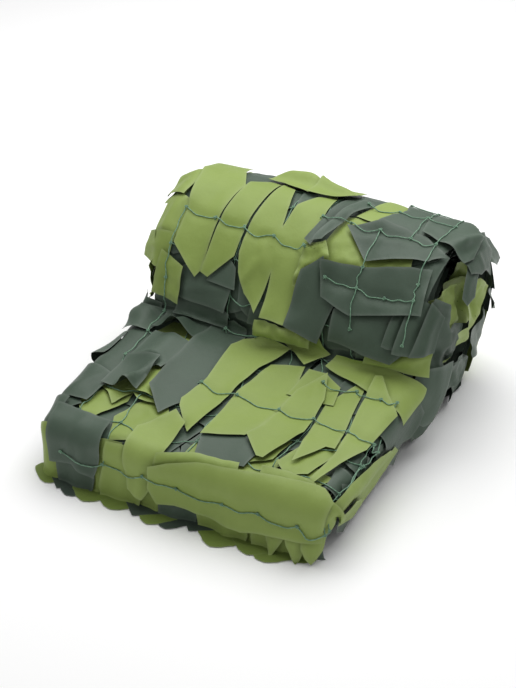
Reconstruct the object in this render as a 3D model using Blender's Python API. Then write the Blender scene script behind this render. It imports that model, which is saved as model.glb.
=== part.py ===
"""A camouflage net, folded into a thick band and rolled up, with the loose end of the band
lying in front of the roll.

The pieces are the ones that the net's maker cuts and ties:
  roll      the wound part of the folded net, one solid with its coil's seam open at both ends
  lap       the loose end, one back-and-forth section of the folded layers
  netting   the knotted twine that lies over the outermost leaves
  leaf_NN   the garnish leaves, cut from light green and dark green cloth
  tuck_NN   leaves that are bunched up in the coil's ends

The frame: +X runs along the roll, +Y points back, away from the loose end, +Z is up, and the
surface that the net lies on is at Z = 0. Lengths are in metres, and in the tables of leaves
and of the netting's lines they are in centimetres.
"""

import math

import bmesh
import bpy
from mathutils import Vector

CM = 0.01

# The folded band and its roll
BAND_WIDTH = 0.56
ROLL_RADIUS = 0.185
LAP_FRONT_Y = -0.58
LAP_THICKNESS = 0.115  # at the front edge
LAP_RISE = 0.035  # what the lap gains in height on its way to the roll
LAP_RISE_Y = -0.22
LAP_BACK_Y = -0.014  # the lap's folded layers end under the roll
LAP_BACK_THICKNESS = 0.108  # where the roll's weight is on them
UNDER_ROLL_Y = -0.006  # and the roll's own underside begins here
JOIN_GAP = 0.0006
FRONT_EDGE_RADIUS = 0.03
CREASE_RADIUS = 0.03  # the hollow between the lap and the roll
FLOOR_FLAT = 0.004  # how far its weight flattens the roll on the floor

# The band's long edges, over which leaves hang: steeply beside the lap, less at the roll's ends
FLAT_HALF_WIDTH = 0.27
SIDE_RADIUS = 0.03
LAP_SIDE_FALL = math.radians(84)
ROLL_SIDE_FALL = math.radians(35)

# Soft swelling of the whole bundle: (height, waves across, waves along, shift)
SWELLS = ((0.004, 14.0, 17.0, 0.4), (0.0015, 20.0, 9.0, 2.1))
CALM_REACH = 0.08  # there is none at the crease and the front edge, and all of it this far away

# Where all pieces bend, so that the layers stay parallel
ACROSS_STEP = 0.054
SIDE_STEPS = 6
TOP_STEPS = 9
EDGE_STEPS = 4
CREASE_STEPS = 5
UNDER_STEPS = 5
ROLL_STEP = math.radians(9)
FACE_STEP = 0.03

# The layers and the coil
LAP_LAYERS = 5
LAYER_GAP = 0.0035
FOLD_DEPTH = 0.022  # the width that a fold takes at the band's edge
FOLD_STEPS = 6
FOLD_REACH = (0.006, -0.004, 0.004, -0.006)  # each fold stands out or back by this
CORE_RADIUS = 0.102
CORE_RISE = 0.034  # from the roll's middle to the core's
CORE_RECESS = 0.018
SEAM_WIDTH = 0.005
SEAM_DEPTH = 0.035  # past the core's own recess
SEAM_TURNS = 3.7
SEAM_STEPS = 14  # in each turn
SEAM_START = math.radians(-66)  # under the back of the roll, where the outer turn begins
SEAM_OUTER_RADIUS = 0.152
SEAM_INNER_RADIUS = 0.022

# The garnish leaves
CLOTH_THICKNESS = 0.0012
LEAF_CLEARANCE = 0.0014  # from the bundle to the lowest leaf
LAYER_PITCH = 0.0026  # from one leaf to the next one over it
LIFT_RUNS = (0.1, 0.25, 0.75, 0.9)  # a lifted leaf bends here, and lies flat in between

# The netting's twine
TWINE = 0.0024
KNOT = 0.0055
KNOT_THICKNESS = 0.0034
TWINE_CLEARANCE = 0.0012
TWINE_SIDE = 0.006  # how far beside the twine's line a leaf still lifts it

COLOURS = {
    "light": ((0.36, 0.47, 0.16), 0.55),
    "dark": ((0.13, 0.18, 0.13), 0.5),
    "core": ((0.09, 0.12, 0.06), 0.7),
    "twine": ((0.2, 0.42, 0.22), 0.45),
}

# How a leaf's two ends are cut, in shares of its width:
# (slant of the low end, slant of the high end, point of the low end, point of the high end)
ENDS = {
    "square": (0.0, 0.0, 0.0, 0.0),
    "slant": (0.45, 0.45, 0.0, 0.0),
    "back": (-0.45, -0.45, 0.0, 0.0),
    "wedge": (0.35, -0.35, 0.0, 0.0),
    "point": (0.0, 0.0, 0.55, 0.0),
    "spear": (0.0, 0.0, 0.45, 0.45),
    "soft": (0.12, 0.12, 0.0, 0.08),
    "softback": (-0.12, -0.12, 0.08, 0.0),
}

# The leaves of the loose end and of the roll's front, lowest first.
# (cloth, ends, across, along, width, length, turn, lift), in centimetres and degrees:
# across is counted from the band's middle line, along from the lap's front edge up over the
# roll, a turn leans the leaf's high end towards +X, and lift is how far its ends stand up.
LEAVES = (
    # under the others, on the lap
    ("dark", "slant", 6.0, 3.5, 11.0, 9.0, 0, 0.0),
    ("light", "back", -15.8, 21.5, 5.0, 9.0, 8, 0.0),
    # down the lap's long sides
    ("dark", "slant", 31.5, 31.0, 9.0, 12.0, 84, 0.0),
    ("light", "slant", 31.5, 8.0, 9.0, 12.0, 82, 0.0),
    ("dark", "wedge", 31.0, 19.5, 9.0, 11.0, 96, 0.0),
    ("dark", "slant", -31.5, 25.0, 9.0, 12.0, 95, 0.0),
    ("dark", "wedge", -31.5, 12.0, 9.0, 11.0, 84, 0.0),
    # the dark half of the lap
    ("dark", "slant", -27.4, 21.5, 5.0, 13.0, -4, 0.0),
    ("dark", "wedge", -19.2, 24.2, 9.0, 9.0, 18, 0.8),
    ("dark", "point", -27.0, 9.5, 6.5, 11.0, 3, 0.6),
    ("dark", "slant", -29.5, 0.5, 7.0, 9.0, 20, 0.6),
    ("dark", "slant", -26.2, 33.0, 5.5, 7.0, -5, 0.8),
    ("dark", "spear", -18.8, 32.6, 9.0, 4.6, 0, 1.2),
    ("dark", "wedge", -20.5, 14.5, 6.0, 9.0, -24, 1.2),
    ("dark", "slant", -11.2, 21.5, 7.8, 28.0, 7, 0.6),
    # the light half of the lap
    ("light", "slant", 4.9, 17.4, 9.4, 24.0, 0, 0.8),
    ("light", "slant", 21.2, 16.0, 7.8, 21.0, 3, 0.8),
    ("light", "wedge", 13.6, 28.6, 6.6, 9.0, 8, 0.5),
    ("light", "spear", 6.2, 33.4, 6.5, 6.0, 58, 0.5),
    ("light", "slant", 21.8, 31.0, 7.4, 16.0, 88, 0.6),
    ("light", "point", -3.5, 19.5, 8.0, 25.0, 1, 0.8),
    ("light", "point", 13.2, 15.0, 8.8, 20.0, -3, 1.0),
    ("light", "square", 26.6, 14.0, 5.6, 26.0, -6, 0.5),
    # down the front
    ("dark", "slant", -22.0, -4.0, 12.0, 10.0, 4, 0.8),
    ("light", "spear", -8.0, -4.5, 9.0, 8.0, -6, 1.0),
    ("light", "slant", 12.5, -4.6, 10.0, 28.0, 88, 0.5),
    # the crease, where the lap meets the roll
    ("dark", "slant", -16.0, 38.0, 4.6, 12.0, 84, 0.0),
    ("dark", "slant", 0.5, 41.0, 4.6, 10.0, 84, 0.0),
    ("light", "back", 24.4, 40.0, 5.6, 9.0, 76, 0.0),
    # the light half of the roll
    ("light", "slant", -28.6, 62.5, 5.0, 8.0, 0, 0.0),
    ("light", "slant", -24.0, 45.5, 8.0, 7.5, 0, 0.5),
    ("light", "point", -15.6, 53.4, 6.8, 13.0, 0, 0.5),
    ("light", "slant", -1.4, 50.6, 7.4, 14.0, 0, 0.5),
    ("light", "point", -22.6, 54.0, 7.2, 12.0, 0, 0.5),
    ("light", "point", -8.6, 51.4, 7.4, 13.0, 0, 0.5),
    ("light", "wedge", -15.0, 66.6, 6.8, 15.0, 0, 0.6),
    ("light", "square", -1.5, 66.4, 7.0, 17.0, 0, 0.6),
    ("light", "slant", -23.2, 66.8, 9.6, 15.0, 0, 0.6),
    ("light", "wedge", -8.2, 65.6, 6.8, 15.0, 0, 0.6),
    # the dark half of the roll
    ("light", "spear", 8.6, 59.4, 6.0, 6.0, 20, 0.0),
    ("dark", "back", 6.4, 47.6, 8.0, 13.0, 20, 0.4),
    ("dark", "spear", 18.5, 44.0, 7.4, 13.0, 86, 0.4),
    ("dark", "slant", 17.4, 52.4, 9.0, 20.0, 80, 0.6),
    ("dark", "wedge", 16.5, 70.0, 9.0, 24.0, 86, 0.8),
    ("dark", "spear", 18.0, 61.4, 8.6, 15.0, 84, 0.6),
)

# The leaves that go on round the back: rows of (along, length), columns of (across, width)
BACK_ROWS = ((81.0, 15.0), (94.5, 15.0), (108.0, 14.0))
BACK_COLUMNS = ((-19.5, 18.0), (0.0, 19.5), (19.5, 18.0))
BACK_CLOTHS = (
    ("light", "light", "dark"),
    ("dark", "light", "dark"),
    ("dark", "dark", "light"),
)
BACK_ENDS = ("soft", "softback", "square")
BACK_SHIFTS = (0.8, -0.8, 0.6)

# The leaves bunched in the coil's ends, in centimetres and degrees:
# (cloth, end of the roll, y, z, width, height, turn, pleats)
TUCKS = (
    ("light", 1, -4.5, 24.0, 7.5, 6.0, 20, 3),
    ("dark", 1, -0.5, 16.8, 8.0, 5.0, -12, 3),
    ("light", -1, 1.0, 22.0, 8.0, 7.0, -10, 3),
)
TUCK_DEPTH = 0.022
TUCK_CLEARANCE = 0.002

# The netting's lines, in centimetres: across the band, and along it
NET_ACROSS = (-24.6, -12.2, 1.6, 13.6, 24.8)
NET_ALONG = (-7.0, 6.0, 20.0, 33.0, 46.0, 59.0, 73.0, 87.0, 101.0, 113.0)


def smooth(share):
    """0 to 1, with level ends."""
    share = min(1.0, max(0.0, share))
    return share * share * (3 - 2 * share)


def direction(angle):
    return Vector((math.cos(angle), math.sin(angle)))


def spread(start, stop, steps):
    """The values from start to stop in equal steps, without start itself."""
    return [start + (stop - start) * (i + 1) / steps for i in range(steps)]


class Profile:
    """The bundle's section at right angles to the roll, as (Y, Z): the front face, the lap's
    sloping top, the crease and the roll, as one line. Lengths along it start at the front
    edge, and are below zero down the front face."""

    def __init__(self):
        self.centre = Vector((0.0, ROLL_RADIUS - FLOOR_FLAT))
        self.slope = math.atan2(LAP_RISE, LAP_RISE_Y - LAP_FRONT_Y - FRONT_EDGE_RADIUS)
        self.forward = direction(self.slope)
        self.upward = direction(self.slope + math.pi / 2)
        self.edge_centre = Vector(
            (LAP_FRONT_Y + FRONT_EDGE_RADIUS, LAP_THICKNESS - FRONT_EDGE_RADIUS)
        )
        self.top_start = self.edge_centre + self.upward * FRONT_EDGE_RADIUS
        self.edge_length = FRONT_EDGE_RADIUS * (math.pi / 2 - self.slope)
        self.face_end = -self.edge_length - self.edge_centre.y
        # The crease's arc touches the sloping top and the roll.
        start = self.top_start + self.upward * CREASE_RADIUS
        off = start - self.centre
        half = off.dot(self.forward)
        rest = off.dot(off) - (ROLL_RADIUS + CREASE_RADIUS) ** 2
        self.top_length = -half - math.sqrt(half * half - rest)
        self.crease_centre = start + self.forward * self.top_length
        to_roll = self.centre - self.crease_centre
        self.crease_angle = self.slope - math.pi / 2
        crease_turn = math.atan2(to_roll.y, to_roll.x) - self.crease_angle
        self.roll_start = self.top_length + CREASE_RADIUS * crease_turn
        self.roll_angle = math.atan2(-to_roll.y, -to_roll.x) % (2 * math.pi)
        self.floor = self.roll_start + ROLL_RADIUS * (self.roll_angle + math.pi / 2)

    def point(self, along, height):
        """The section's point at that length along it, raised by height."""
        if along < -self.edge_length:
            return Vector((LAP_FRONT_Y - height, along - self.face_end))
        if along < 0:
            angle = math.pi / 2 + self.slope - along / FRONT_EDGE_RADIUS
            return self.edge_centre + (FRONT_EDGE_RADIUS + height) * direction(angle)
        if along < self.top_length:
            return self.top_start + self.forward * along + self.upward * height
        if along < self.roll_start:
            angle = self.crease_angle + (along - self.top_length) / CREASE_RADIUS
            return self.crease_centre + (CREASE_RADIUS - height) * direction(angle)
        angle = self.roll_angle - (along - self.roll_start) / ROLL_RADIUS
        return self.centre + (ROLL_RADIUS + height) * direction(angle)

    def lap_top(self, y):
        """The height of the lap's top at that Y, also where it runs on under the roll."""
        if y < self.top_start.x:
            back = self.edge_centre.x - y
            return self.edge_centre.y + math.sqrt(max(0.0, FRONT_EDGE_RADIUS**2 - back**2))
        crease_y = self.crease_centre.x
        slope_end = min(y, crease_y)
        top = self.top_start.y + (slope_end - self.top_start.x) * math.tan(self.slope)
        under = smooth((y - crease_y) / (LAP_BACK_Y - crease_y))
        return top + (LAP_BACK_THICKNESS - top) * under

    def under_roll(self):
        """The places in Y where the lap's top bends under the roll."""
        return spread(self.crease_centre.x, LAP_BACK_Y, UNDER_STEPS)

    def front_breaks(self):
        """Where the pieces bend on the front face and over the front edge."""
        face = -self.edge_length - self.face_end
        down = [self.face_end] + spread(self.face_end, -self.edge_length, round(face / FACE_STEP))
        return down + spread(-self.edge_length, 0.0, EDGE_STEPS)

    def top_breaks(self):
        return spread(0.0, self.top_length, TOP_STEPS)

    def roll_breaks(self):
        """Where the pieces bend in the crease and round the roll."""
        crease = spread(self.top_length, self.roll_start, CREASE_STEPS)
        length = self.floor - self.roll_start
        steps = round(length / ROLL_RADIUS / ROLL_STEP)
        return crease + spread(self.roll_start, self.floor, steps)

    def breaks(self):
        return self.front_breaks() + self.top_breaks() + self.roll_breaks()


PROFILE = Profile()
CORE_CENTRE = PROFILE.centre + Vector((-0.005, CORE_RISE))


def across_breaks():
    """Where the pieces bend across the band: evenly on the flat, and over the long edges."""
    half = spread(0.0, FLAT_HALF_WIDTH, round(FLAT_HALF_WIDTH / ACROSS_STEP))
    half += spread(FLAT_HALF_WIDTH, FLAT_HALF_WIDTH + SIDE_RADIUS * LAP_SIDE_FALL, SIDE_STEPS)
    return [-x for x in reversed(half)] + [0.0] + half


def swell(across, along):
    """The bundle's soft unevenness, the same for all that lies in one place."""
    crease = (PROFILE.top_length + PROFILE.roll_start) / 2
    calm = smooth(abs(along - crease) / CALM_REACH) * smooth(along / CALM_REACH)
    return calm * sum(
        size * math.sin(waves_across * across + shift) * math.sin(waves_along * along + shift)
        for size, waves_across, waves_along, shift in SWELLS
    )


def skin(across, along, height):
    """The point in that place on the band, raised by height."""
    on_roll = smooth((along - PROFILE.top_length + 0.04) / 0.12)
    fall = LAP_SIDE_FALL + (ROLL_SIDE_FALL - LAP_SIDE_FALL) * on_roll
    past = max(0.0, abs(across) - FLAT_HALF_WIDTH)
    turned = min(past / SIDE_RADIUS, fall)
    rest = past - SIDE_RADIUS * turned
    out = (SIDE_RADIUS + height) * math.sin(turned) + rest * math.cos(turned)
    drop = SIDE_RADIUS * (1 - math.cos(turned)) + rest * math.sin(turned)
    level = (height + swell(across, along)) * math.cos(turned) - drop
    y, z = PROFILE.point(along, level)
    return Vector((math.copysign(min(abs(across), FLAT_HALF_WIDTH) + out, across), y, z))


def cloth_material(name):
    """The plain material of one of the net's cloths or of its twine."""
    colour, roughness = COLOURS[name]
    material = bpy.data.materials.new(name)
    material.use_nodes = True
    shader = material.node_tree.nodes["Principled BSDF"]
    shader.inputs["Base Color"].default_value = (*colour, 1.0)
    shader.inputs["Roughness"].default_value = roughness
    shader.inputs["Metallic"].default_value = 0.0
    return material


def finished(shape, name):
    """The mesh of a bmesh, with its faces turned out."""
    bmesh.ops.recalc_face_normals(shape, faces=shape.faces)
    mesh = bpy.data.meshes.new(name)
    shape.to_mesh(mesh)
    shape.free()
    return mesh


def add_object(name, mesh, material):
    mesh.materials.append(bpy.data.materials[material])
    piece = bpy.data.objects.new(name, mesh)
    bpy.context.scene.collection.objects.link(piece)
    return piece


def join_rings(shape, low, high):
    """Faces between two closed rings of as many corners."""
    for i in range(len(low)):
        j = (i + 1) % len(low)
        shape.faces.new((low[i], low[j], high[j], high[i]))


def lofted(name, rings):
    """A closed solid through rings of points, with a flat face at each end."""
    shape = bmesh.new()
    loops = [[shape.verts.new(point) for point in ring] for ring in rings]
    for low, high in zip(loops, loops[1:]):
        join_rings(shape, low, high)
    shape.faces.new(loops[0])
    shape.faces.new(loops[-1])
    return finished(shape, name)


# The wound part


def roll_ring(across):
    """The roll's outline in one place across the band: from the crease up over the top, down
    the back to the floor, and forward under the roll as far as the lap's own layers."""
    alongs = PROFILE.roll_breaks()[1:-1] + [PROFILE.floor - 0.001]
    ring = [skin(across, along, 0.0) for along in alongs]
    for point in ring:
        point.z = max(0.0, point.z)
    x = ring[0].x
    ring.append(Vector((x, UNDER_ROLL_Y, 0.0)))
    for y in [UNDER_ROLL_Y, *reversed(PROFILE.under_roll()), ring[0].y]:
        ring.append(Vector((x, y, PROFILE.lap_top(y) + JOIN_GAP)))
    return ring


def wall(name, outline, x_from, x_to):
    """A straight cutter along the roll, with its outline in (Y, Z)."""
    rings = [[Vector((x, *point)) for point in outline] for x in (x_from, x_to)]
    cutter = add_object(name, lofted(name, rings), "core")
    cutter.hide_render = True
    cutter.display_type = "WIRE"
    return cutter


def core_outline():
    """The uneven outline of the coil's core, a little above the roll's middle."""
    points = []
    for i in range(20):
        angle = 2 * math.pi * i / 20
        radius = CORE_RADIUS * (1 + 0.05 * math.sin(3 * angle + 0.6) + 0.03 * math.sin(7 * angle))
        points.append(CORE_CENTRE + radius * direction(angle))
    return points


def seam_outline():
    """The coil's seam, a narrow spiral from under the roll's back in to the core's middle."""
    inner, outer = [], []
    steps = round(SEAM_TURNS * SEAM_STEPS)
    for i in range(steps + 1):
        share = i / steps
        angle = SEAM_START + share * SEAM_TURNS * 2 * math.pi
        radius = SEAM_OUTER_RADIUS + (SEAM_INNER_RADIUS - SEAM_OUTER_RADIUS) * share
        middle = PROFILE.centre.lerp(CORE_CENTRE, smooth(share / 0.4))
        inner.append(middle + (radius - SEAM_WIDTH / 2) * direction(angle))
        outer.append(middle + (radius + SEAM_WIDTH / 2) * direction(angle))
    return inner + outer[::-1]


def make_roll():
    """The roll, with its core drawn in at both ends and the coil's seam open there."""
    half = BAND_WIDTH / 2
    stations = [x for x in across_breaks() if abs(x) < half + 0.005]
    roll = add_object("roll", lofted("roll", [roll_ring(x) for x in stations]), "core")
    floor_x = half - CORE_RECESS
    for side, where in ((-1, "left"), (1, "right")):
        beyond = side * (half + 0.05)
        for name, outline, x_from in (
            ("core", core_outline(), side * floor_x),
            ("seam", seam_outline(), side * (floor_x - SEAM_DEPTH)),
        ):
            cut = roll.modifiers.new(f"{name}_{where}", "BOOLEAN")
            cut.operation = "DIFFERENCE"
            cut.object = wall(f"{name}_{where}", outline, x_from, beyond)
    roll.data.shade_smooth()
    return roll


# The loose end


def layer_heights():
    """(lower, upper) of each layer, in shares of the lap's thickness."""
    gap = LAYER_GAP / LAP_THICKNESS
    thick = (1 - gap * (LAP_LAYERS - 1)) / LAP_LAYERS
    return [(k * (thick + gap), k * (thick + gap) + thick) for k in range(LAP_LAYERS)]


def round_side(side, reach, low, high):
    """A round edge on one side, from low to high, as (across, height share) points."""
    points = []
    for i in range(FOLD_STEPS + 1):
        angle = -math.pi / 2 + math.pi * i / FOLD_STEPS
        depth = FOLD_DEPTH + reach if 0 < i < FOLD_STEPS else FOLD_DEPTH
        across = side * (BAND_WIDTH / 2 - FOLD_DEPTH + depth * math.cos(angle))
        points.append((across, (low + high) / 2 + (high - low) / 2 * math.sin(angle)))
    return points


def lap_outline():
    """The back-and-forth section of the layers, as (across, height share) points. Its folds
    lie by turns at the right and at the left, and the slots between layers end at them."""
    layers = layer_heights()
    inside = [x for x in across_breaks() if abs(x) < BAND_WIDTH / 2 - FOLD_DEPTH - 0.01]

    def slot_end(side, low, high):
        """The inner end of the slot between two heights, on that side."""
        return [(side * (BAND_WIDTH / 2 - FOLD_DEPTH), (low + high) / 2)]

    def run(side, height):
        """Across the band to that side."""
        return [(x, height) for x in (inside if side > 0 else reversed(inside))]

    outline = run(1, layers[0][0])
    for k in range(0, LAP_LAYERS - 1, 2):
        outline += round_side(1, FOLD_REACH[k], layers[k][0], layers[k + 1][1])
        outline += run(-1, layers[k + 1][1])
        outline += slot_end(-1, layers[k + 1][1], layers[k + 2][0])
        outline += run(1, layers[k + 2][0])
    outline += round_side(1, -0.006, *layers[-1])
    outline += run(-1, layers[-1][1])
    for k in range(LAP_LAYERS - 1, 0, -2):
        outline += round_side(-1, FOLD_REACH[k - 1], layers[k - 1][0], layers[k][1])[::-1]
        outline += run(1, layers[k - 1][0])
        outline += slot_end(1, layers[k - 1][0], layers[k - 2][1])
        outline += run(-1, layers[k - 2][1])
    outline += round_side(-1, -0.006, *layers[0])[::-1]
    return outline


def lap_ring(y):
    """The layers' section at one place along the lap."""
    crease = (PROFILE.top_length + PROFILE.roll_start) / 2
    along = min(crease, (y - PROFILE.top_start.x) / math.cos(PROFILE.slope))
    return [
        Vector((across, y, share * (PROFILE.lap_top(y) + swell(across, along))))
        for across, share in lap_outline()
    ]


def make_lap():
    edge = [PROFILE.point(along, 0.0).x for along in [-PROFILE.edge_length, *PROFILE.front_breaks()[-EDGE_STEPS:]]]
    top = [PROFILE.point(along, 0.0).x for along in PROFILE.top_breaks()]
    rings = [lap_ring(y) for y in edge + top + PROFILE.under_roll()]
    lap = add_object("lap", lofted("lap", rings), "core")
    lap.data.shade_smooth()
    return lap


# The garnish leaves


class Leaf:
    """One cut leaf: where it lies on the band, and how its two ends are cut."""

    def __init__(self, cloth, ends, across, along, width, length, turn, lift):
        self.cloth = cloth
        self.low_slant, self.high_slant, self.low_tip, self.high_tip = ENDS[ends]
        self.middle = Vector((across, along)) * CM
        self.width, self.length, self.lift = width * CM, length * CM, lift * CM
        angle = math.radians(turn)
        self.lengthwise = Vector((math.sin(angle), math.cos(angle)))
        self.crosswise = Vector((math.cos(angle), -math.sin(angle)))
        self.level = 0

    def end(self, side, share):
        """How far along the leaf its low (-1) or high (+1) end lies, at a share across."""
        slant = self.low_slant if side < 0 else self.high_slant
        tip = self.low_tip if side < 0 else self.high_tip
        return side * self.length / 2 + (slant * share + side * tip * (1 - abs(2 * share))) * self.width

    def corners(self):
        """The outline in band places, from the low end round."""
        places = []
        for side, shares in ((-1, (-0.5, 0.0, 0.5)), (1, (0.5, 0.0, -0.5))):
            for share in shares:
                off = self.crosswise * share * self.width + self.lengthwise * self.end(side, share)
                places.append(self.middle + off)
        return places

    def run_at(self, place):
        """The share across and the run along the leaf, 0 to 1, of a place on the band."""
        off = place - self.middle
        share = off.dot(self.crosswise) / self.width
        low, high = self.end(-1, share), self.end(1, share)
        return share, (off.dot(self.lengthwise) - low) / (high - low)

    def height(self, place):
        """The height of the leaf's underside there."""
        base = LEAF_CLEARANCE + self.level * LAYER_PITCH
        run = self.run_at(place)[1]
        start = LIFT_RUNS[1]
        return base + self.lift * smooth((start - min(run, 1 - run)) / start)

    def covers(self, place, margin):
        """Whether the leaf lies there, or within the margin of there."""
        share, run = self.run_at(place)
        side, end = margin / self.width, margin / self.length
        return abs(share) < 0.5 + side and -end < run < 1 + end


def apart(first, second, margin=0.002):
    """Whether the outlines of two leaves lie clear of each other."""
    for leaf in (first, second):
        corners = leaf.corners()
        for start, stop in zip(corners, corners[1:] + corners[:1]):
            axis = (stop - start).orthogonal().normalized()
            a = [corner.dot(axis) for corner in first.corners()]
            b = [corner.dot(axis) for corner in second.corners()]
            if max(a) + margin < min(b) or max(b) + margin < min(a):
                return True
    return False


def back_leaves():
    leaves = []
    for row, (along, length) in enumerate(BACK_ROWS):
        for column, (across, width) in enumerate(BACK_COLUMNS):
            ends = BACK_ENDS[(row + column) % len(BACK_ENDS)]
            middle = along + BACK_SHIFTS[column]
            cloth = BACK_CLOTHS[row][column]
            leaves.append(Leaf(cloth, ends, across, middle, width, length, 0, 0.0))
    return leaves


def all_leaves():
    """The leaves in the order in which they lie, each one level above those that it covers.
    The ends of a leaf lift only where no other leaf lies on it."""
    leaves = [Leaf(*row) for row in LEAVES] + back_leaves()
    for i, leaf in enumerate(leaves):
        below = [other.level for other in leaves[:i] if not apart(leaf, other)]
        leaf.level = max(below, default=-1) + 1
        if any(not apart(leaf, other) for other in leaves[i + 1 :]):
            leaf.lift = 0.0
    return leaves


def cut_flat(shape, point, normal):
    """Cuts a flat bmesh along a line, so that it can bend there."""
    everything = shape.verts[:] + shape.edges[:] + shape.faces[:]
    bmesh.ops.bisect_plane(
        shape, geom=everything, dist=0.0008, plane_co=(*point, 0.0), plane_no=(*normal, 0.0)
    )


def leaf_mesh(name, leaf):
    """A leaf's cloth: its flat outline, cut where the bundle bends, laid on the bundle and
    given its thickness."""
    shape = bmesh.new()
    shape.faces.new([shape.verts.new((*corner, 0.0)) for corner in leaf.corners()])
    for along in PROFILE.breaks():
        cut_flat(shape, (0.0, along), (0.0, 1.0))
    for across in across_breaks():
        cut_flat(shape, (across, 0.0), (1.0, 0.0))
    if leaf.lift:
        for run in LIFT_RUNS:
            middle = leaf.middle + leaf.lengthwise * leaf.length * (run - 0.5)
            cut_flat(shape, middle, leaf.lengthwise)
    bmesh.ops.triangulate(shape, faces=shape.faces)
    under = shape.faces[:]
    rim = [edge for edge in shape.edges if edge.is_boundary]
    places = {vert: vert.co.xy for vert in shape.verts}
    over = {}
    for vert, place in places.items():
        height = leaf.height(place)
        over[vert] = shape.verts.new(skin(*place, height + CLOTH_THICKNESS))
        vert.co = skin(*place, height)
    for face in under:
        shape.faces.new([over[vert] for vert in face.verts])
    for edge in rim:
        a, b = edge.verts
        shape.faces.new((a, b, over[b], over[a]))
    mesh = finished(shape, name)
    mesh.shade_smooth()
    return mesh


def make_leaves(leaves):
    for i, leaf in enumerate(leaves):
        name = f"leaf_{i + 1:02d}"
        add_object(name, leaf_mesh(name, leaf), leaf.cloth)


def make_tuck(name, cloth, side, y, z, width, height, turn, pleats):
    """A leaf bunched in pleats, in the drawn-in core at one end of the roll."""
    middle = Vector((y, z)) * CM
    crosswise = direction(math.radians(turn))
    upward = direction(math.radians(turn + 90))
    floor_x = BAND_WIDTH / 2 - CORE_RECESS + TUCK_CLEARANCE
    rows = []
    for row in (-0.5, 0.0, 0.5):
        line = []
        for fold in range(2 * pleats + 1):
            share = fold / (2 * pleats) - 0.5
            pinch = 1.0 - 0.35 * (row + 0.5)
            spot = middle + (crosswise * share * width * pinch + upward * row * height) * CM
            crest = TUCK_DEPTH * (fold % 2) * (1.0 - 0.4 * abs(row + 0.2))
            line.append((floor_x + crest, spot))
        rows.append(line)
    rings = []
    for line in rows:
        under = [Vector((side * x, *spot)) for x, spot in line]
        over = [Vector((side * (x + 2.2 * CLOTH_THICKNESS), *spot)) for x, spot in line]
        rings.append(under + over[::-1])
    return add_object(name, lofted(name, rings), cloth)


# The netting

RING = ((-1, -1), (1, -1), (1, 1), (-1, 1))


def twine_height(leaves, start, stop):
    """The height at which twine clears every leaf between two places."""
    top = LEAF_CLEARANCE
    samples = max(1, math.ceil((stop - start).length / 0.004))
    for i in range(samples + 1):
        place = start.lerp(stop, i / samples)
        for leaf in leaves:
            if leaf.covers(place, TWINE_SIDE):
                top = max(top, leaf.height(place) + CLOTH_THICKNESS)
    return top + TWINE_CLEARANCE + KNOT_THICKNESS / 2


def strand_places(start, stop, crossing, breaks):
    """The places between two knots where a strand bends. Crossing is 0 for a strand that
    runs across the band and 1 for one that runs along it."""
    places = []
    for value in breaks:
        if start[crossing] + 2 * KNOT < value < stop[crossing] - 2 * KNOT:
            place = start.copy()
            place[crossing] = value
            places.append(place)
    return places


def frame_at(place, height):
    """The point there, and the directions across the band, along it and out of it."""
    step = 0.001
    across = skin(place.x + step, place.y, height) - skin(place.x - step, place.y, height)
    along = skin(place.x, place.y + step, height) - skin(place.x, place.y - step, height)
    across.normalize()
    along.normalize()
    return skin(*place, height), across, along, across.cross(along)


def add_knot(shape, place, height):
    """A knot's eight corners, keyed by their sides across, along and out."""
    point, across, along, out = frame_at(place, height)
    corners = {}
    for a in (-1, 1):
        for b in (-1, 1):
            for c in (-1, 1):
                off = (across * a + along * b) * KNOT + out * c * KNOT_THICKNESS
                corners[a, b, c] = shape.verts.new(point + off / 2)
    for c in (-1, 1):
        shape.faces.new([corners[a, b, c] for a, b in RING])
    return corners


def knot_side(corners, crossing, end):
    """The four corners of a knot on the side where a strand leaves it."""
    if crossing == 0:
        return [corners[end, side, out] for side, out in RING]
    return [corners[side, end, out] for side, out in RING]


def add_strand_ring(shape, place, height, crossing):
    point, across, along, out = frame_at(place, height)
    side = along if crossing == 0 else across
    return [shape.verts.new(point + (side * a + out * b) * TWINE / 2) for a, b in RING]


def make_netting(leaves):
    """The knotted twine, as open cells at about twice the net's real pitch."""
    shape = bmesh.new()
    columns, rows = len(NET_ACROSS), len(NET_ALONG)
    knots = {(i, j): Vector((NET_ACROSS[i], NET_ALONG[j])) * CM for i in range(columns) for j in range(rows)}
    breaks = (across_breaks(), PROFILE.breaks())
    strands = []
    for (i, j), start in knots.items():
        for crossing, other in ((0, (i + 1, j)), (1, (i, j + 1))):
            if other in knots:
                stop = knots[other]
                bends = strand_places(start, stop, crossing, breaks[crossing])
                path = [start, *bends, stop]
                spans = [twine_height(leaves, a, b) for a, b in zip(path, path[1:])]
                strands.append(((i, j), other, crossing, bends, spans))
    rise = {}
    for first, last, _, _, spans in strands:
        rise[first] = max(rise.get(first, 0.0), spans[0])
        rise[last] = max(rise.get(last, 0.0), spans[-1])
    corners = {key: add_knot(shape, place, rise[key]) for key, place in knots.items()}
    used = set()
    for first, last, crossing, bends, spans in strands:
        rings = [knot_side(corners[first], crossing, 1)]
        for place, before, after in zip(bends, spans, spans[1:]):
            rings.append(add_strand_ring(shape, place, max(before, after), crossing))
        rings.append(knot_side(corners[last], crossing, -1))
        for low, high in zip(rings, rings[1:]):
            join_rings(shape, low, high)
        used |= {(first, crossing, 1), (last, crossing, -1)}
    for key in knots:
        for crossing in (0, 1):
            for end in (-1, 1):
                if (key, crossing, end) not in used:
                    shape.faces.new(knot_side(corners[key], crossing, end))
    return add_object("netting", finished(shape, "netting"), "twine")


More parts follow.
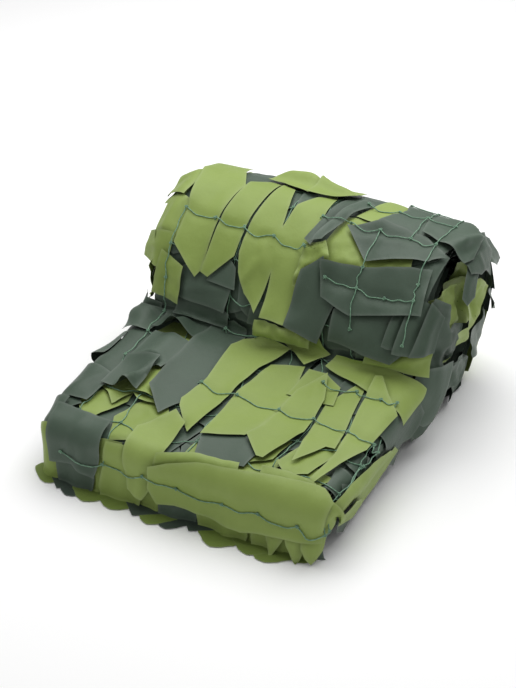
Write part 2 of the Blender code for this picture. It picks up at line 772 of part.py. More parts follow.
def main():
    for thing in list(bpy.data.objects):
        bpy.data.objects.remove(thing)
    for name in COLOURS:
        cloth_material(name)
    make_roll()
    make_lap()
    leaves = all_leaves()
    make_leaves(leaves)
    for i, row in enumerate(TUCKS):
        make_tuck(f"tuck_{i + 1:02d}", *row)
    make_netting(leaves)


main()
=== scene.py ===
"""The looks of the camouflage net: its leaves of coated cloth, draped over one another, the folded
and wound net under them, and the knotted twine that holds them.

Places on the net are given on its band: across, from the band's middle line, and along, from the
lap's front edge back over the lap, up over the roll and down behind it. Tables give them in
centimetres, and everything else is in metres.
"""

import math
import random

import bmesh
import bpy
import numpy as np
from mathutils import Matrix, Vector, noise


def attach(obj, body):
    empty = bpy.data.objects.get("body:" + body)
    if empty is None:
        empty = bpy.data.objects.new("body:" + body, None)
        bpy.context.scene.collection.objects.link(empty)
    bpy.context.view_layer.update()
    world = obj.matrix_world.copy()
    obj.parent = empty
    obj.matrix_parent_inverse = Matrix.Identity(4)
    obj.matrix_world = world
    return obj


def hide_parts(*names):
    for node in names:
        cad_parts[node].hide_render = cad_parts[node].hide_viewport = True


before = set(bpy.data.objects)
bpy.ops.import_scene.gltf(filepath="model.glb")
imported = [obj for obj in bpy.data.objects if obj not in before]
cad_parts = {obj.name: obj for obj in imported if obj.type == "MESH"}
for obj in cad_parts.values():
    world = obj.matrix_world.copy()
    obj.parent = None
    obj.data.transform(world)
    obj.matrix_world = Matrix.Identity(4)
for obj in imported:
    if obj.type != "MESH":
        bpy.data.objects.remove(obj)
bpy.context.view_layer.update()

CM = 0.01

# The bundle, as in its solids
BAND_WIDTH = 0.56
ROLL_RADIUS = 0.185
ROLL_CENTRE = np.array([0.0, 0.181])
CORE_CENTRE = np.array([-0.005, 0.215])
LAP_FRONT_Y = -0.58
LAP_THICKNESS = 0.115
LAP_SLOPE = math.atan2(0.035, 0.33)
LAP_BACK_Y = -0.014
LAP_BACK_THICKNESS = 0.108
EDGE_RADIUS = 0.03
CREASE_RADIUS = 0.03
FLAT_HALF_WIDTH = 0.27
SIDE_RADIUS = 0.03
LAP_LEFT_FALL = math.radians(84)
LAP_RIGHT_FALL = math.radians(98)
ROLL_SIDE_FALL = math.radians(35)
SWELLS = ((0.004, 14.0, 17.0, 0.4), (0.0015, 20.0, 9.0, 2.1))
CALM_REACH = 0.08
FLOOR_CLEARANCE = 0.0015
SIDE_REACH = 0.325  # cloth that stands out past this is pressed back, so that the bundle keeps its size

# Draping
STEP = 0.005  # the lattice on which cloth is laid and cut
CLOTH = 0.0008
GAP = 0.0007
BRIDGING = 24  # how far cloth spans what lies under it, in passes over the lattice
PILE_GIVE = 0.013  # how much lower a high pile lies than the sum of its layers
PILE_DEPTH = 0.018
END_X = 0.268  # how far out the wound net reaches at the roll's ends


def smooth(share):
    """0 to 1, with level ends."""
    share = np.clip(share, 0.0, 1.0)
    return share * share * (3 - 2 * share)


def direction(angle):
    return np.stack([np.cos(angle), np.sin(angle)], axis=-1)


# The section at right angles to the roll, as (Y, Z)

FORWARD = direction(np.float64(LAP_SLOPE))
UPWARD = direction(np.float64(LAP_SLOPE + math.pi / 2))
EDGE_CENTRE = np.array([LAP_FRONT_Y + EDGE_RADIUS, LAP_THICKNESS - EDGE_RADIUS])
TOP_START = EDGE_CENTRE + UPWARD * EDGE_RADIUS
EDGE_LENGTH = EDGE_RADIUS * (math.pi / 2 - LAP_SLOPE)
FACE_END = -EDGE_LENGTH - EDGE_CENTRE[1]


def crease():
    """The length of the lap's top, and the centre, first angle and arc length of the crease,
    whose arc touches the lap's top and the roll."""
    start = TOP_START + UPWARD * CREASE_RADIUS
    off = start - ROLL_CENTRE
    half = off @ FORWARD
    length = -half - math.sqrt(half * half - off @ off + (ROLL_RADIUS + CREASE_RADIUS) ** 2)
    centre = start + FORWARD * length
    to_roll = ROLL_CENTRE - centre
    first = LAP_SLOPE - math.pi / 2
    return length, centre, first, CREASE_RADIUS * (math.atan2(to_roll[1], to_roll[0]) - first)


TOP_LENGTH, CREASE_CENTRE, CREASE_ANGLE, CREASE_ARC = crease()
ROLL_START = TOP_LENGTH + CREASE_ARC
FROM_ROLL = CREASE_CENTRE - ROLL_CENTRE
ROLL_ANGLE = math.atan2(FROM_ROLL[1], FROM_ROLL[0]) % (2 * math.pi)
ROLL_FLOOR = ROLL_START + ROLL_RADIUS * (ROLL_ANGLE + math.pi / 2)


def section(along, height):
    """The (Y, Z) points of the section at those lengths along it, raised by those heights."""
    along, height = along[:, None], height[:, None]
    turn = math.pi / 2 + LAP_SLOPE - along[:, 0] / EDGE_RADIUS
    in_crease = CREASE_ANGLE + (along[:, 0] - TOP_LENGTH) / CREASE_RADIUS
    on_roll = ROLL_ANGLE - (along[:, 0] - ROLL_START) / ROLL_RADIUS
    return np.select(
        [along < -EDGE_LENGTH, along < 0, along < TOP_LENGTH, along < ROLL_START],
        [
            np.hstack([LAP_FRONT_Y - height, along - FACE_END]),
            EDGE_CENTRE + (EDGE_RADIUS + height) * direction(turn),
            TOP_START + FORWARD * along + UPWARD * height,
            CREASE_CENTRE + (CREASE_RADIUS - height) * direction(in_crease),
        ],
        ROLL_CENTRE + (ROLL_RADIUS + height) * direction(on_roll),
    )


def lap_top(y):
    """The height of the lap's top at that Y, also where it runs on under the roll."""
    if y < TOP_START[0]:
        back = EDGE_CENTRE[0] - y
        return EDGE_CENTRE[1] + math.sqrt(max(0.0, EDGE_RADIUS**2 - back**2))
    crease_y = CREASE_CENTRE[0]
    top = TOP_START[1] + (min(y, crease_y) - TOP_START[0]) * math.tan(LAP_SLOPE)
    under = smooth((y - crease_y) / (LAP_BACK_Y - crease_y))
    return top + (LAP_BACK_THICKNESS - top) * under


def swell(across, along):
    """The soft unevenness of the whole bundle."""
    middle = (TOP_LENGTH + ROLL_START) / 2
    calm = smooth(np.abs(along - middle) / CALM_REACH) * smooth(along / CALM_REACH)
    waves = 0.0
    for size, waves_across, waves_along, shift in SWELLS:
        waves = waves + size * np.sin(waves_across * across + shift) * np.sin(waves_along * along + shift)
    return calm * waves


def pressed_in(x):
    return np.where(x > SIDE_REACH, SIDE_REACH + 0.35 * (x - SIDE_REACH), x)


def skin(across, along, height):
    """The points of the bundle in those places on its band, raised by those heights. Past the
    long edges the band turns down, and on the floor it turns out."""
    across, along, height = (np.asarray(v, float) for v in (across, along, height))
    on_roll = smooth((along - TOP_LENGTH + 0.04) / 0.12)
    on_lap = np.where(across > 0, LAP_RIGHT_FALL, LAP_LEFT_FALL)
    fall = on_lap + (ROLL_SIDE_FALL - on_lap) * on_roll
    past = np.maximum(0.0, np.abs(across) - FLAT_HALF_WIDTH)
    turned = np.minimum(past / SIDE_RADIUS, fall)
    rest = past - SIDE_RADIUS * turned
    out = (SIDE_RADIUS + height) * np.sin(turned) + rest * np.cos(turned)
    drop = SIDE_RADIUS * (1 - np.cos(turned)) + rest * np.sin(turned)
    level = (height + swell(across, along)) * np.cos(turned) - drop
    yz = section(along, level)
    x = np.minimum(np.abs(across), FLAT_HALF_WIDTH) + out
    under = np.maximum(0.0, FLOOR_CLEARANCE - yz[:, 1])
    on_side = smooth(past / 0.02)
    x += under * 0.8 * on_side
    y = yz[:, 0] - under * 0.8 * (1 - on_side) * (along < 0.1)
    z = np.maximum(yz[:, 1], FLOOR_CLEARANCE + 0.02 * under)
    return np.stack([np.copysign(pressed_in(x), across), y, z], axis=1)


# Laying cloth


def bilinear(grid, i, j):
    """A lattice's value between its points."""
    i = np.clip(i, 0, grid.shape[0] - 1.001)
    j = np.clip(j, 0, grid.shape[1] - 1.001)
    i0, j0 = np.floor(i).astype(int), np.floor(j).astype(int)
    u, v = i - i0, j - j0
    low = grid[i0, j0] * (1 - u) + grid[i0 + 1, j0] * u
    high = grid[i0, j0 + 1] * (1 - u) + grid[i0 + 1, j0 + 1] * u
    return low * (1 - v) + high * v


def neighbours(grid):
    """A lattice and its eight shifted copies."""
    padded = np.pad(grid, 1, mode="edge")
    rows, columns = grid.shape
    return [padded[i : i + rows, j : j + columns] for i in (0, 1, 2) for j in (0, 1, 2)]


def highest(grid):
    return np.max(neighbours(grid), axis=0)


def softened(grid):
    return np.mean(neighbours(grid), axis=0)


class Ground:
    """A surface that leaves are laid on, with a lattice of how high the cloth lies."""

    def __init__(self, place, low, high):
        self.place = place
        self.low = np.array(low)
        count = np.round((np.array(high) - self.low) / STEP).astype(int) + 1
        self.top = np.zeros(count)
        self.cover = np.zeros(count)
        self.slack = np.ones(count)

    def window(self, low, high):
        """The lattice's part that covers a box, as its first index and its slices."""
        first = np.maximum(np.floor((low - self.low) / STEP).astype(int) - 3, 0)
        last = np.minimum(np.ceil((high - self.low) / STEP).astype(int) + 4, self.top.shape)
        return first, tuple(slice(a, b) for a, b in zip(first, last))

    def places(self, window):
        axes = [low + STEP * np.arange(part.start, part.stop) for low, part in zip(self.low, window)]
        return np.meshgrid(*axes, indexing="ij")

    def height_of(self, grid, across, along, reach=0.0):
        """The greatest height in those places and as far round them as the reach."""
        heights = [
            bilinear(grid, (across + u - self.low[0]) / STEP, (along + v - self.low[1]) / STEP)
            for u, v in ((0, 0), (reach, reach), (reach, -reach), (-reach, reach), (-reach, -reach))
        ]
        return np.max(heights, axis=0)

    def near_line(self, points, reach):
        """The part of the lattice near a line, and how far its points lie from the line."""
        _, window = self.window(points.min(axis=0) - reach, points.max(axis=0) + reach)
        across, along = self.places(window)
        nearest = np.full(across.shape, 1e9)
        for start, stop in zip(points, points[1:]):
            nearest = np.minimum(nearest, to_segment(start, stop, across, along))
        return window, nearest


def to_segment(start, stop, across, along):
    edge = stop - start
    share = (across - start[0]) * edge[0] + (along - start[1]) * edge[1]
    share = np.clip(share / (edge @ edge), 0, 1)
    return np.hypot(across - start[0] - share * edge[0], along - start[1] - share * edge[1])


def depth_inside(outline, across, along):
    """How deep those places lie inside an outline, below zero outside it."""
    inside = np.zeros(across.shape, bool)
    nearest = np.full(across.shape, 1e9)
    for start, stop in zip(outline, np.roll(outline, -1, axis=0)):
        nearest = np.minimum(nearest, to_segment(start, stop, across, along))
        crosses = (start[1] > along) != (stop[1] > along)
        with np.errstate(divide="ignore", invalid="ignore"):
            at = start[0] + (along - start[1]) / (stop[1] - start[1]) * (stop[0] - start[0])
        inside ^= crosses & (across < at)
    return np.where(inside, nearest, -nearest)


def counter_clockwise(outline):
    x, y = outline[:, 0], outline[:, 1]
    return outline if np.dot(x, np.roll(y, -1)) > np.dot(y, np.roll(x, -1)) else outline[::-1]


class Leaf:
    """A leaf of cloth, cut to an outline in centimetres on its ground.

    Its lift, puff and crumple are in millimetres: how high its edges lie, how much more it bulges
    inside them, and how rumpled it is. A crease is (across, along, angle, half length, height,
    half width). A vault is (across, along, angle, length, height, half width) from its mouth on.
    A curl is (across, along, angle it points to, radius, degrees). They are in centimetres.
    """

    def __init__(self, cloth, outline, lift=1, puff=4, crumple=0, creases=(), vaults=(), curls=(), seed=0):
        self.cloth = cloth
        self.outline = counter_clockwise(np.asarray(outline, float) * CM)
        self.lift = lift
        self.puff = puff
        self.crumple = crumple
        self.creases = creases
        self.vaults = vaults
        self.curls = curls
        self.seed = seed
        self.ground = None

    def press(self, ground):
        """Finds where later leaves press this one flat. Leaves are taken from the top down."""
        self.ground = ground
        self.first, self.window = ground.window(self.outline.min(axis=0), self.outline.max(axis=0))
        self.places = ground.places(self.window)
        self.depth = depth_inside(self.outline, *self.places)
        cover = ground.cover[self.window]
        self.free = 1 - 0.92 * softened(cover)
        ground.cover[self.window] = np.maximum(cover, smooth(self.depth / (2 * STEP) + 0.5))

    def relief(self):
        """The leaf's own height over what it lies on."""
        across, along = self.places
        bulge = 1 - np.exp(-np.maximum(0.0, self.depth) / 0.02)
        height = 0.001 * (self.lift + self.puff * bulge) * self.ground.slack[self.window]
        for crease in self.creases:
            height = height + ridge(across / CM, along / CM, *crease) * CM
        for mouth in self.vaults:
            height = height + vault(across / CM, along / CM, *mouth) * CM
        height = height + wrinkles(across, along, self.seed, 0.0008 + 0.00015 * self.puff)
        if self.crumple:
            height = height + crumples(across, along, self.seed, 0.001 * self.crumple)
        return height

    def drape(self):
        """Settles the leaf on the cloth that is there, and adds it to that."""
        top = self.ground.top[self.window]
        under = highest(top) + GAP
        base = under
        for _ in range(BRIDGING):
            base = np.maximum(under, softened(base))
        base = softened(softened(base))
        self.rise = base + self.free * softened(self.relief())
        lies = np.where(self.depth > -STEP, self.rise + CLOTH, 0.0)
        self.ground.top[self.window] = np.maximum(top, lies)

    def heights(self, across, along):
        i = (across - self.ground.low[0]) / STEP - self.first[0]
        j = (along - self.ground.low[1]) / STEP - self.first[1]
        return bilinear(self.rise, i, j)

    def curled(self, across, along, height):
        """Bends the leaf up past each of its curls' lines."""
        for x, s, angle, radius, most in self.curls:
            out = direction(np.float64(math.radians(angle)))
            past = np.maximum(0.0, (across - x * CM) * out[0] + (along - s * CM) * out[1])
            turned = np.minimum(past / (radius * CM), math.radians(most))
            rest = past - radius * CM * turned
            reach = radius * CM * np.sin(turned) + rest * np.cos(turned)
            across = across + (reach - past) * out[0]
            along = along + (reach - past) * out[1]
            height = height + radius * CM * (1 - np.cos(turned)) + rest * np.sin(turned)
        return across, along, height


def run_and_side(across, along, x, s, angle):
    cos, sin = math.cos(math.radians(angle)), math.sin(math.radians(angle))
    return (across - x) * cos + (along - s) * sin, (along - s) * cos - (across - x) * sin


def ridge(across, along, x, s, angle, length, size, width):
    """A fold that stands up in a sharp line."""
    run, side = run_and_side(across, along, x, s, angle)
    return size * np.exp(-((run / length) ** 4)) * np.maximum(0.0, 1 - np.abs(side) / width) ** 1.5


def vault(across, along, x, s, angle, length, size, width):
    """A hollow fold, open and highest at its mouth, that narrows to nothing."""
    run, side = run_and_side(across, along, x, s, angle)
    share = np.clip(1 - run / length, 0.0, 1.0)
    spread = width * (0.35 + 0.65 * share)
    return size * share * np.cos(math.pi / 2 * np.clip(np.abs(side) / spread, 0, 1)) ** 2


def wrinkles(across, along, seed, size):
    """Soft wrinkles of the cloth, a few centimetres from one to the next."""
    shift = 7.3 * seed
    waves = [
        noise.noise(Vector((x * 30 + shift, s * 21, shift))) + 0.4 * noise.noise(Vector((x * 70, s * 55 + shift, 3.0)))
        for x, s in zip(across.ravel(), along.ravel())
    ]
    return size * (np.array(waves).reshape(across.shape) + 0.6)


def crumples(across, along, seed, size):
    """Sharp ridges between flat facets, as in cloth that was squeezed."""
    ridges = []
    for x, s in zip(across.ravel(), along.ravel()):
        place = Vector((x * 46 + seed * 5.1, s * 36, seed * 1.7))
        place += 0.35 * noise.noise_vector(place * 0.9)
        near, second = noise.voronoi(place)[0][:2]
        ridges.append(max(0.0, 0.75 - (second - near) * 1.5) + 0.5 * near)
    return size * np.array(ridges).reshape(across.shape)


def band_place(across, along, height):
    """A place on the pile, whose lower layers are pressed closer together."""
    return skin(across, along, height - PILE_GIVE * (1 - np.exp(-height / PILE_DEPTH)))


def end_place(side):
    """The ground over one end of the roll: its places are (Y, Z), mirrored on the left end."""

    def place(across, along, height):
        x = side * pressed_in(END_X + np.asarray(height, float))
        return np.stack([x, side * across, np.maximum(along, FLOOR_CLEARANCE)], axis=1)

    return place


BAND = Ground(band_place, (-0.46, -0.20), (0.46, 1.28))
ENDS = {side: Ground(end_place(side), (-0.26, -0.04), (0.26, 0.42)) for side in (1, -1)}


def flat_mesh(outline, origin):
    """A cut outline as a flat bmesh, cut again along the lattice so that it can bend."""
    shape = bmesh.new()
    shape.faces.new([shape.verts.new((x, s, 0.0)) for x, s in outline])
    shape.normal_update()
    bmesh.ops.triangulate(shape, faces=shape.faces)
    low, high = outline.min(axis=0), outline.max(axis=0)
    for axis in (0, 1):
        normal = (1.0, 0.0, 0.0) if axis == 0 else (0.0, 1.0, 0.0)
        first = math.ceil((low[axis] - origin[axis]) / STEP)
        last = math.floor((high[axis] - origin[axis]) / STEP)
        for k in range(first, last + 1):
            place = origin[axis] + k * STEP
            everything = shape.verts[:] + shape.edges[:] + shape.faces[:]
            point = (place, 0.0, 0.0) if axis == 0 else (0.0, place, 0.0)
            bmesh.ops.bisect_plane(shape, geom=everything, dist=0.0006, plane_co=point, plane_no=normal)
    bmesh.ops.remove_doubles(shape, verts=shape.verts, dist=0.0004)
    shape.verts.ensure_lookup_table()
    shape.verts.index_update()
    return shape


def cloth_piece(name, leaves):
    """One object of leaves that are already draped: closed thin sheets, with a UV map in metres
    and a colour attribute of (own shade, nearness to the cut edge, underside)."""
    joined = bmesh.new()
    uv = joined.loops.layers.uv.new("cloth")
    look = joined.loops.layers.float_color.new("look")
    for leaf in leaves:
        flat = flat_mesh(leaf.outline, leaf.ground.low)
        places = np.array([vert.co[:2] for vert in flat.verts])
        across, along = places[:, 0], places[:, 1]
        edge = np.exp(-np.maximum(0.0, depth_inside(leaf.outline, across, along)) / 0.0025)
        place = leaf.curled(across, along, leaf.heights(across, along))
        under = leaf.ground.place(*place)
        over = leaf.ground.place(place[0], place[1], place[2] + CLOTH)
        if leaf.curls:
            over = under + sheet_normals(flat, under) * CLOTH
        shade = random.Random(leaf.seed).random()
        turn = leaf.seed * 1.3
        grain = np.stack([across * math.cos(turn) - along * math.sin(turn), across * math.sin(turn) + along * math.cos(turn)], axis=1)
        sides = [[joined.verts.new(point) for point in points] for points in (under, over)]

        def add_face(corners, side):
            face = joined.faces.new([sides[k][i] for i, k in corners])
            face.smooth = True
            for loop, (i, _) in zip(face.loops, corners):
                loop[uv].uv = grain[i]
                loop[look] = (shade, edge[i], side, 1.0)

        for face in flat.faces:
            ids = [vert.index for vert in face.verts]
            add_face([(i, 1) for i in ids], 0.0)
            add_face([(i, 0) for i in reversed(ids)], 1.0)
            for a, b in zip(ids, ids[1:] + ids[:1]):
                if flat.edges.get((flat.verts[a], flat.verts[b])).is_boundary:
                    add_face([(a, 0), (b, 0), (b, 1), (a, 1)], 0.0)
        flat.free()
    mesh = bpy.data.meshes.new(name)
    joined.to_mesh(mesh)
    joined.free()
    mesh.set_sharp_from_angle(angle=math.radians(55))
    return add_object(name, mesh)


def sheet_normals(flat, points):
    """The normals of a flat bmesh's points once they are moved."""
    normals = np.zeros_like(points)
    for face in flat.faces:
        ids = [vert.index for vert in face.verts]
        a, b, c = points[ids[0]], points[ids[1]], points[ids[2]]
        normals[ids] += np.cross(b - a, c - a)
    return normals / np.maximum(1e-12, np.linalg.norm(normals, axis=1))[:, None]


def add_object(name, mesh):
    piece = bpy.data.objects.new(name, mesh)
    bpy.context.scene.collection.objects.link(piece)
    return piece


# Materials


class Socket:
    """One output of a shader's nodes, for plain arithmetic."""

    def __init__(self, shader, output):
        self.shader = shader
        self.output = output

    def __add__(self, other):
        return self.shader.maths("ADD", self, other)

    def __sub__(self, other):
        return self.shader.maths("SUBTRACT", self, other)

    def __rsub__(self, other):
        return self.shader.maths("SUBTRACT", other, self)

    def __mul__(self, other):
        return self.shader.maths("MULTIPLY", self, other)

    def __pow__(self, other):
        return self.shader.maths("POWER", self, other)

    __radd__ = __add__
    __rmul__ = __mul__


class Shader:
    """A material whose surface is one Principled BSDF."""

    def __init__(self, name, **values):
        self.material = bpy.data.materials.new(name)
        self.material.use_nodes = True
        self.nodes = self.material.node_tree.nodes
        self.surface = self.nodes["Principled BSDF"]
        for key, value in values.items():
            self.surface.inputs[key.replace("_", " ").title().replace("Ior", "IOR")].default_value = value

    def add(self, kind, settings=None, output=0, **inputs):
        """A node of that kind, its settings first and then its inputs, by name."""
        node = self.nodes.new(kind)
        for key, value in (settings or {}).items():
            if key == "stops":
                set_stops(node.color_ramp, value)
            else:
                setattr(node, key, value)
        for key, value in inputs.items():
            self.feed(node.inputs[int(key[1:]) if key[1:].isdigit() else key], value)
        return Socket(self, node.outputs[output])

    def feed(self, target, value):
        if isinstance(value, Socket):
            self.material.node_tree.links.new(value.output, target)
        else:
            target.default_value = value

    def maths(self, operation, first, second):
        return self.add("ShaderNodeMath", {"operation": operation}, i0=first, i1=second)

    def mix(self, share, first, second):
        """A colour between two others."""
        node = self.nodes.new("ShaderNodeMix")
        node.data_type = "RGBA"
        self.feed(node.inputs["Factor"], share)
        self.feed(node.inputs["A"], first)
        self.feed(node.inputs["B"], second)
        return Socket(self, node.outputs["Result"])

    def noise(self, vector, scale, detail=2.0, roughness=0.5):
        return self.add(
            "ShaderNodeTexNoise", Vector=vector, Scale=scale, Detail=detail, Roughness=roughness
        )

    def bump(self, height, strength, distance, normal=None):
        inputs = {"Height": height, "Strength": strength, "Distance": distance}
        if normal:
            inputs["Normal"] = normal
        return self.add("ShaderNodeBump", **inputs)


def set_stops(ramp, stops):
    while len(ramp.elements) < len(stops):
        ramp.elements.new(0.5)
    for element, (position, colour) in zip(ramp.elements, stops):
        element.position = position
        element.color = colour


def grey(value):
    return (value, value, value, 1.0)


def coated_cloth(name, pale, deep, under, roughness):
    """Thin coated cloth: a faint weave, a soft sheen, cut edges paled partly by fraying and partly by a painted
    highlight along the rims, and a dull back.
    """
    shader = Shader(name, sheen_weight=0.03, sheen_roughness=0.4, specular_ior_level=0.25)
    flat = shader.add("ShaderNodeUVMap", {"uv_map": "cloth"})
    solid = shader.add("ShaderNodeTexCoord", output=3)
    look = shader.add("ShaderNodeSeparateColor", Color=shader.add("ShaderNodeVertexColor", {"layer_name": "look"}))
    node = look.output.node
    own, edge, back = (Socket(shader, node.outputs[i]) for i in range(3))
    cloudy = shader.noise(solid, 14.0, 3.0, 0.6)
    speckle = shader.noise(flat, 700.0, 1.0)
    tone = own * 0.5 + cloudy * 0.75 + speckle * 0.12 - 0.2
    front = shader.mix(tone, deep, pale)
    # The cut edges are paled: partly fraying, partly a painted highlight along the rims.
    frayed_and_rim_highlight = shader.mix(edge * 0.08, front, tuple(0.55 + 0.45 * c for c in pale[:3]) + (1.0,))
    colour = shader.mix(back * 0.75, frayed_and_rim_highlight, under)
    shader.feed(shader.surface.inputs["Base Color"], colour)
    shader.feed(shader.surface.inputs["Roughness"], roughness + (speckle - 0.5) * 0.12 + back * 0.12 + (cloudy - 0.5) * 0.15)
    weave_x = shader.add("ShaderNodeTexWave", {"bands_direction": "X"}, Vector=flat, Scale=260.0)
    weave_y = shader.add("ShaderNodeTexWave", {"bands_direction": "Y"}, Vector=flat, Scale=260.0)
    rumple = shader.noise(flat, 55.0, 3.0, 0.55)
    fine = shader.bump(weave_x * weave_y + speckle * 0.5, 0.25, 0.0002)
    shader.feed(shader.surface.inputs["Normal"], shader.bump(rumple, 0.5, 0.0016, fine))
    return shader.material


def twine_material():
    """Smooth green synthetic twine, twisted; its paler green along the twist and in patches is partly painted
    highlight.
    """
    shader = Shader("twine_green", specular_ior_level=0.5, sheen_weight=0.2)
    flat = shader.add("ShaderNodeUVMap", {"uv_map": "cloth"})
    solid = shader.add("ShaderNodeTexCoord", output=3)
    cloudy = shader.noise(solid, 60.0, 2.0)
    twist = shader.add("ShaderNodeTexWave", {"bands_direction": "DIAGONAL"}, Vector=flat, Scale=1.0)
    # The twine runs from deep green to a paler green, partly its own tone and partly painted highlight.
    tone = cloudy * 0.7 + twist * 0.4
    shader.feed(shader.surface.inputs["Base Color"], shader.mix(tone, TWINE_DEEP, TWINE_PALE_AND_HIGHLIGHT))
    shader.feed(shader.surface.inputs["Roughness"], 0.36 + cloudy * 0.2)
    shader.feed(shader.surface.inputs["Normal"], shader.bump(twist, 0.6, 0.0004))
    return shader.material


LIGHT_PALE = (0.275, 0.36, 0.098, 1.0)
LIGHT_DEEP = (0.205, 0.28, 0.06, 1.0)
LIGHT_UNDER = (0.115, 0.165, 0.03, 1.0)
DARK_PALE = (0.076, 0.112, 0.08, 1.0)
DARK_DEEP = (0.05, 0.076, 0.053, 1.0)
DARK_UNDER = (0.035, 0.05, 0.04, 1.0)
# The twine's paler green is partly painted highlight.
TWINE_PALE_AND_HIGHLIGHT = (0.25, 0.45, 0.29, 1.0)
TWINE_DEEP = (0.016, 0.085, 0.045, 1.0)

CLOTHS = {
    "light": coated_cloth("light_green_cloth", LIGHT_PALE, LIGHT_DEEP, LIGHT_UNDER, 0.5),
    "dark": coated_cloth("dark_green_cloth", DARK_PALE, DARK_DEEP, DARK_UNDER, 0.46),
}
TWINE = twine_material()


def dress(piece, material, slot, *nodes):
    """Gives a piece its material, body and the solids that it stands for; its slot is not used."""
    piece.data.materials.append(material)
    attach(piece, "root")
    if nodes:
        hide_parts(*nodes)


def finish_leaves(name, leaves, held, *nodes):
    """Makes one piece of draped leaves of one cloth."""
    piece = cloth_piece(name, leaves)
    cloth = leaves[0].cloth
    dress(piece, CLOTHS[cloth], cloth, *nodes)
    return piece


# The leaves that show, lowest first


def shown(name, cloth, nodes, outline, **form):
    """A leaf's name, the solids that it stands for, and the leaf."""
    return name, nodes, Leaf(cloth, outline, seed=sum(map(ord, name)) % 997, **form)


def left_of_lap():
    return (
        shown("left_under", "light", ("leaf_02",), ((-19, 11), (-13, 11), (-13, 27), (-18.5, 28)), crumple=6),
        shown("left_side_back", "dark", ("leaf_06",), ((-26, 19), (-36, 19), (-37, 26), (-35, 31), (-27, 31)), lift=2),
        shown("left_side_front", "dark", ("leaf_07",), ((-26, 7), (-36, 6.5), (-37, 13), (-35, 17.5), (-27, 18)), lift=3),
        shown("left_strip", "dark", ("leaf_08",), ((-29, 11), (-23.4, 11), (-23.2, 29), (-28.5, 29.5)), lift=2),
        shown(
            "left_loop", "dark", (), ((-33.5, 20.5), (-28.6, 20), (-28.2, 28), (-32.5, 29)),
            lift=1, puff=1, vaults=((-31, 20.2, 85, 9, 2.6, 2.2),),
        ),
        shown(
            "left_bulge", "dark", ("leaf_09",), ((-24, 19.5), (-15.5, 18.5), (-14.3, 28), (-23.2, 29.5)),
            lift=2, puff=2, vaults=((-19.5, 19, 84, 13, 2.2, 5.4),),
        ),
        shown(
            "left_corner_strip", "dark", ("leaf_10",), ((-30.5, 5.5), (-23.8, 5), (-23, 14), (-29.5, 16)),
            lift=3, creases=((-27, 10, 60, 4, 0.5, 1.2),),
        ),
        shown(
            "left_corner_leaf", "dark", ("leaf_11",), ((-34, -3), (-28, -5), (-27, 4.5), (-32.5, 6)),
            lift=4, puff=1,
        ),
        shown(
            "left_back_loop", "dark", (), ((-31.5, 33), (-26, 33.5), (-25.5, 38.5), (-31, 39)),
            lift=1, puff=1, vaults=((-28.8, 33, 92, 8, 4.2, 2.8),),
        ),
        shown(
            "left_back_strip", "dark", ("leaf_12",), ((-29.6, 28.8), (-24.2, 29), (-24, 37), (-28.8, 37)),
            lift=4, puff=2, creases=((-27, 33, 85, 5, 0.4, 1.6),),
        ),
        shown(
            "left_arch", "dark", ("leaf_13",), ((-24.4, 30.2), (-14.6, 29.6), (-14, 36.5), (-18.5, 38.6), (-24, 37)),
            lift=2, puff=1, vaults=((-19.3, 29.6, 92, 10, 3.6, 4.6),),
        ),
        shown(
            "left_funnel", "dark", ("leaf_14",), ((-24, 10.5), (-16.2, 10.8), (-16.8, 20.8), (-23.8, 20.5)),
            lift=2, puff=1, vaults=((-18.8, 10.6, 78, 11, 3.4, 2.6),),
        ),
        shown(
            "left_band", "dark", ("leaf_15",),
            ((-14.8, 13), (-9.9, 7.7), (-7.2, 13.5), (-6.2, 22), (-6.3, 38), (-9, 39.5), (-13.8, 37), (-14.5, 26)),
            lift=4, puff=2,
        ),
    )


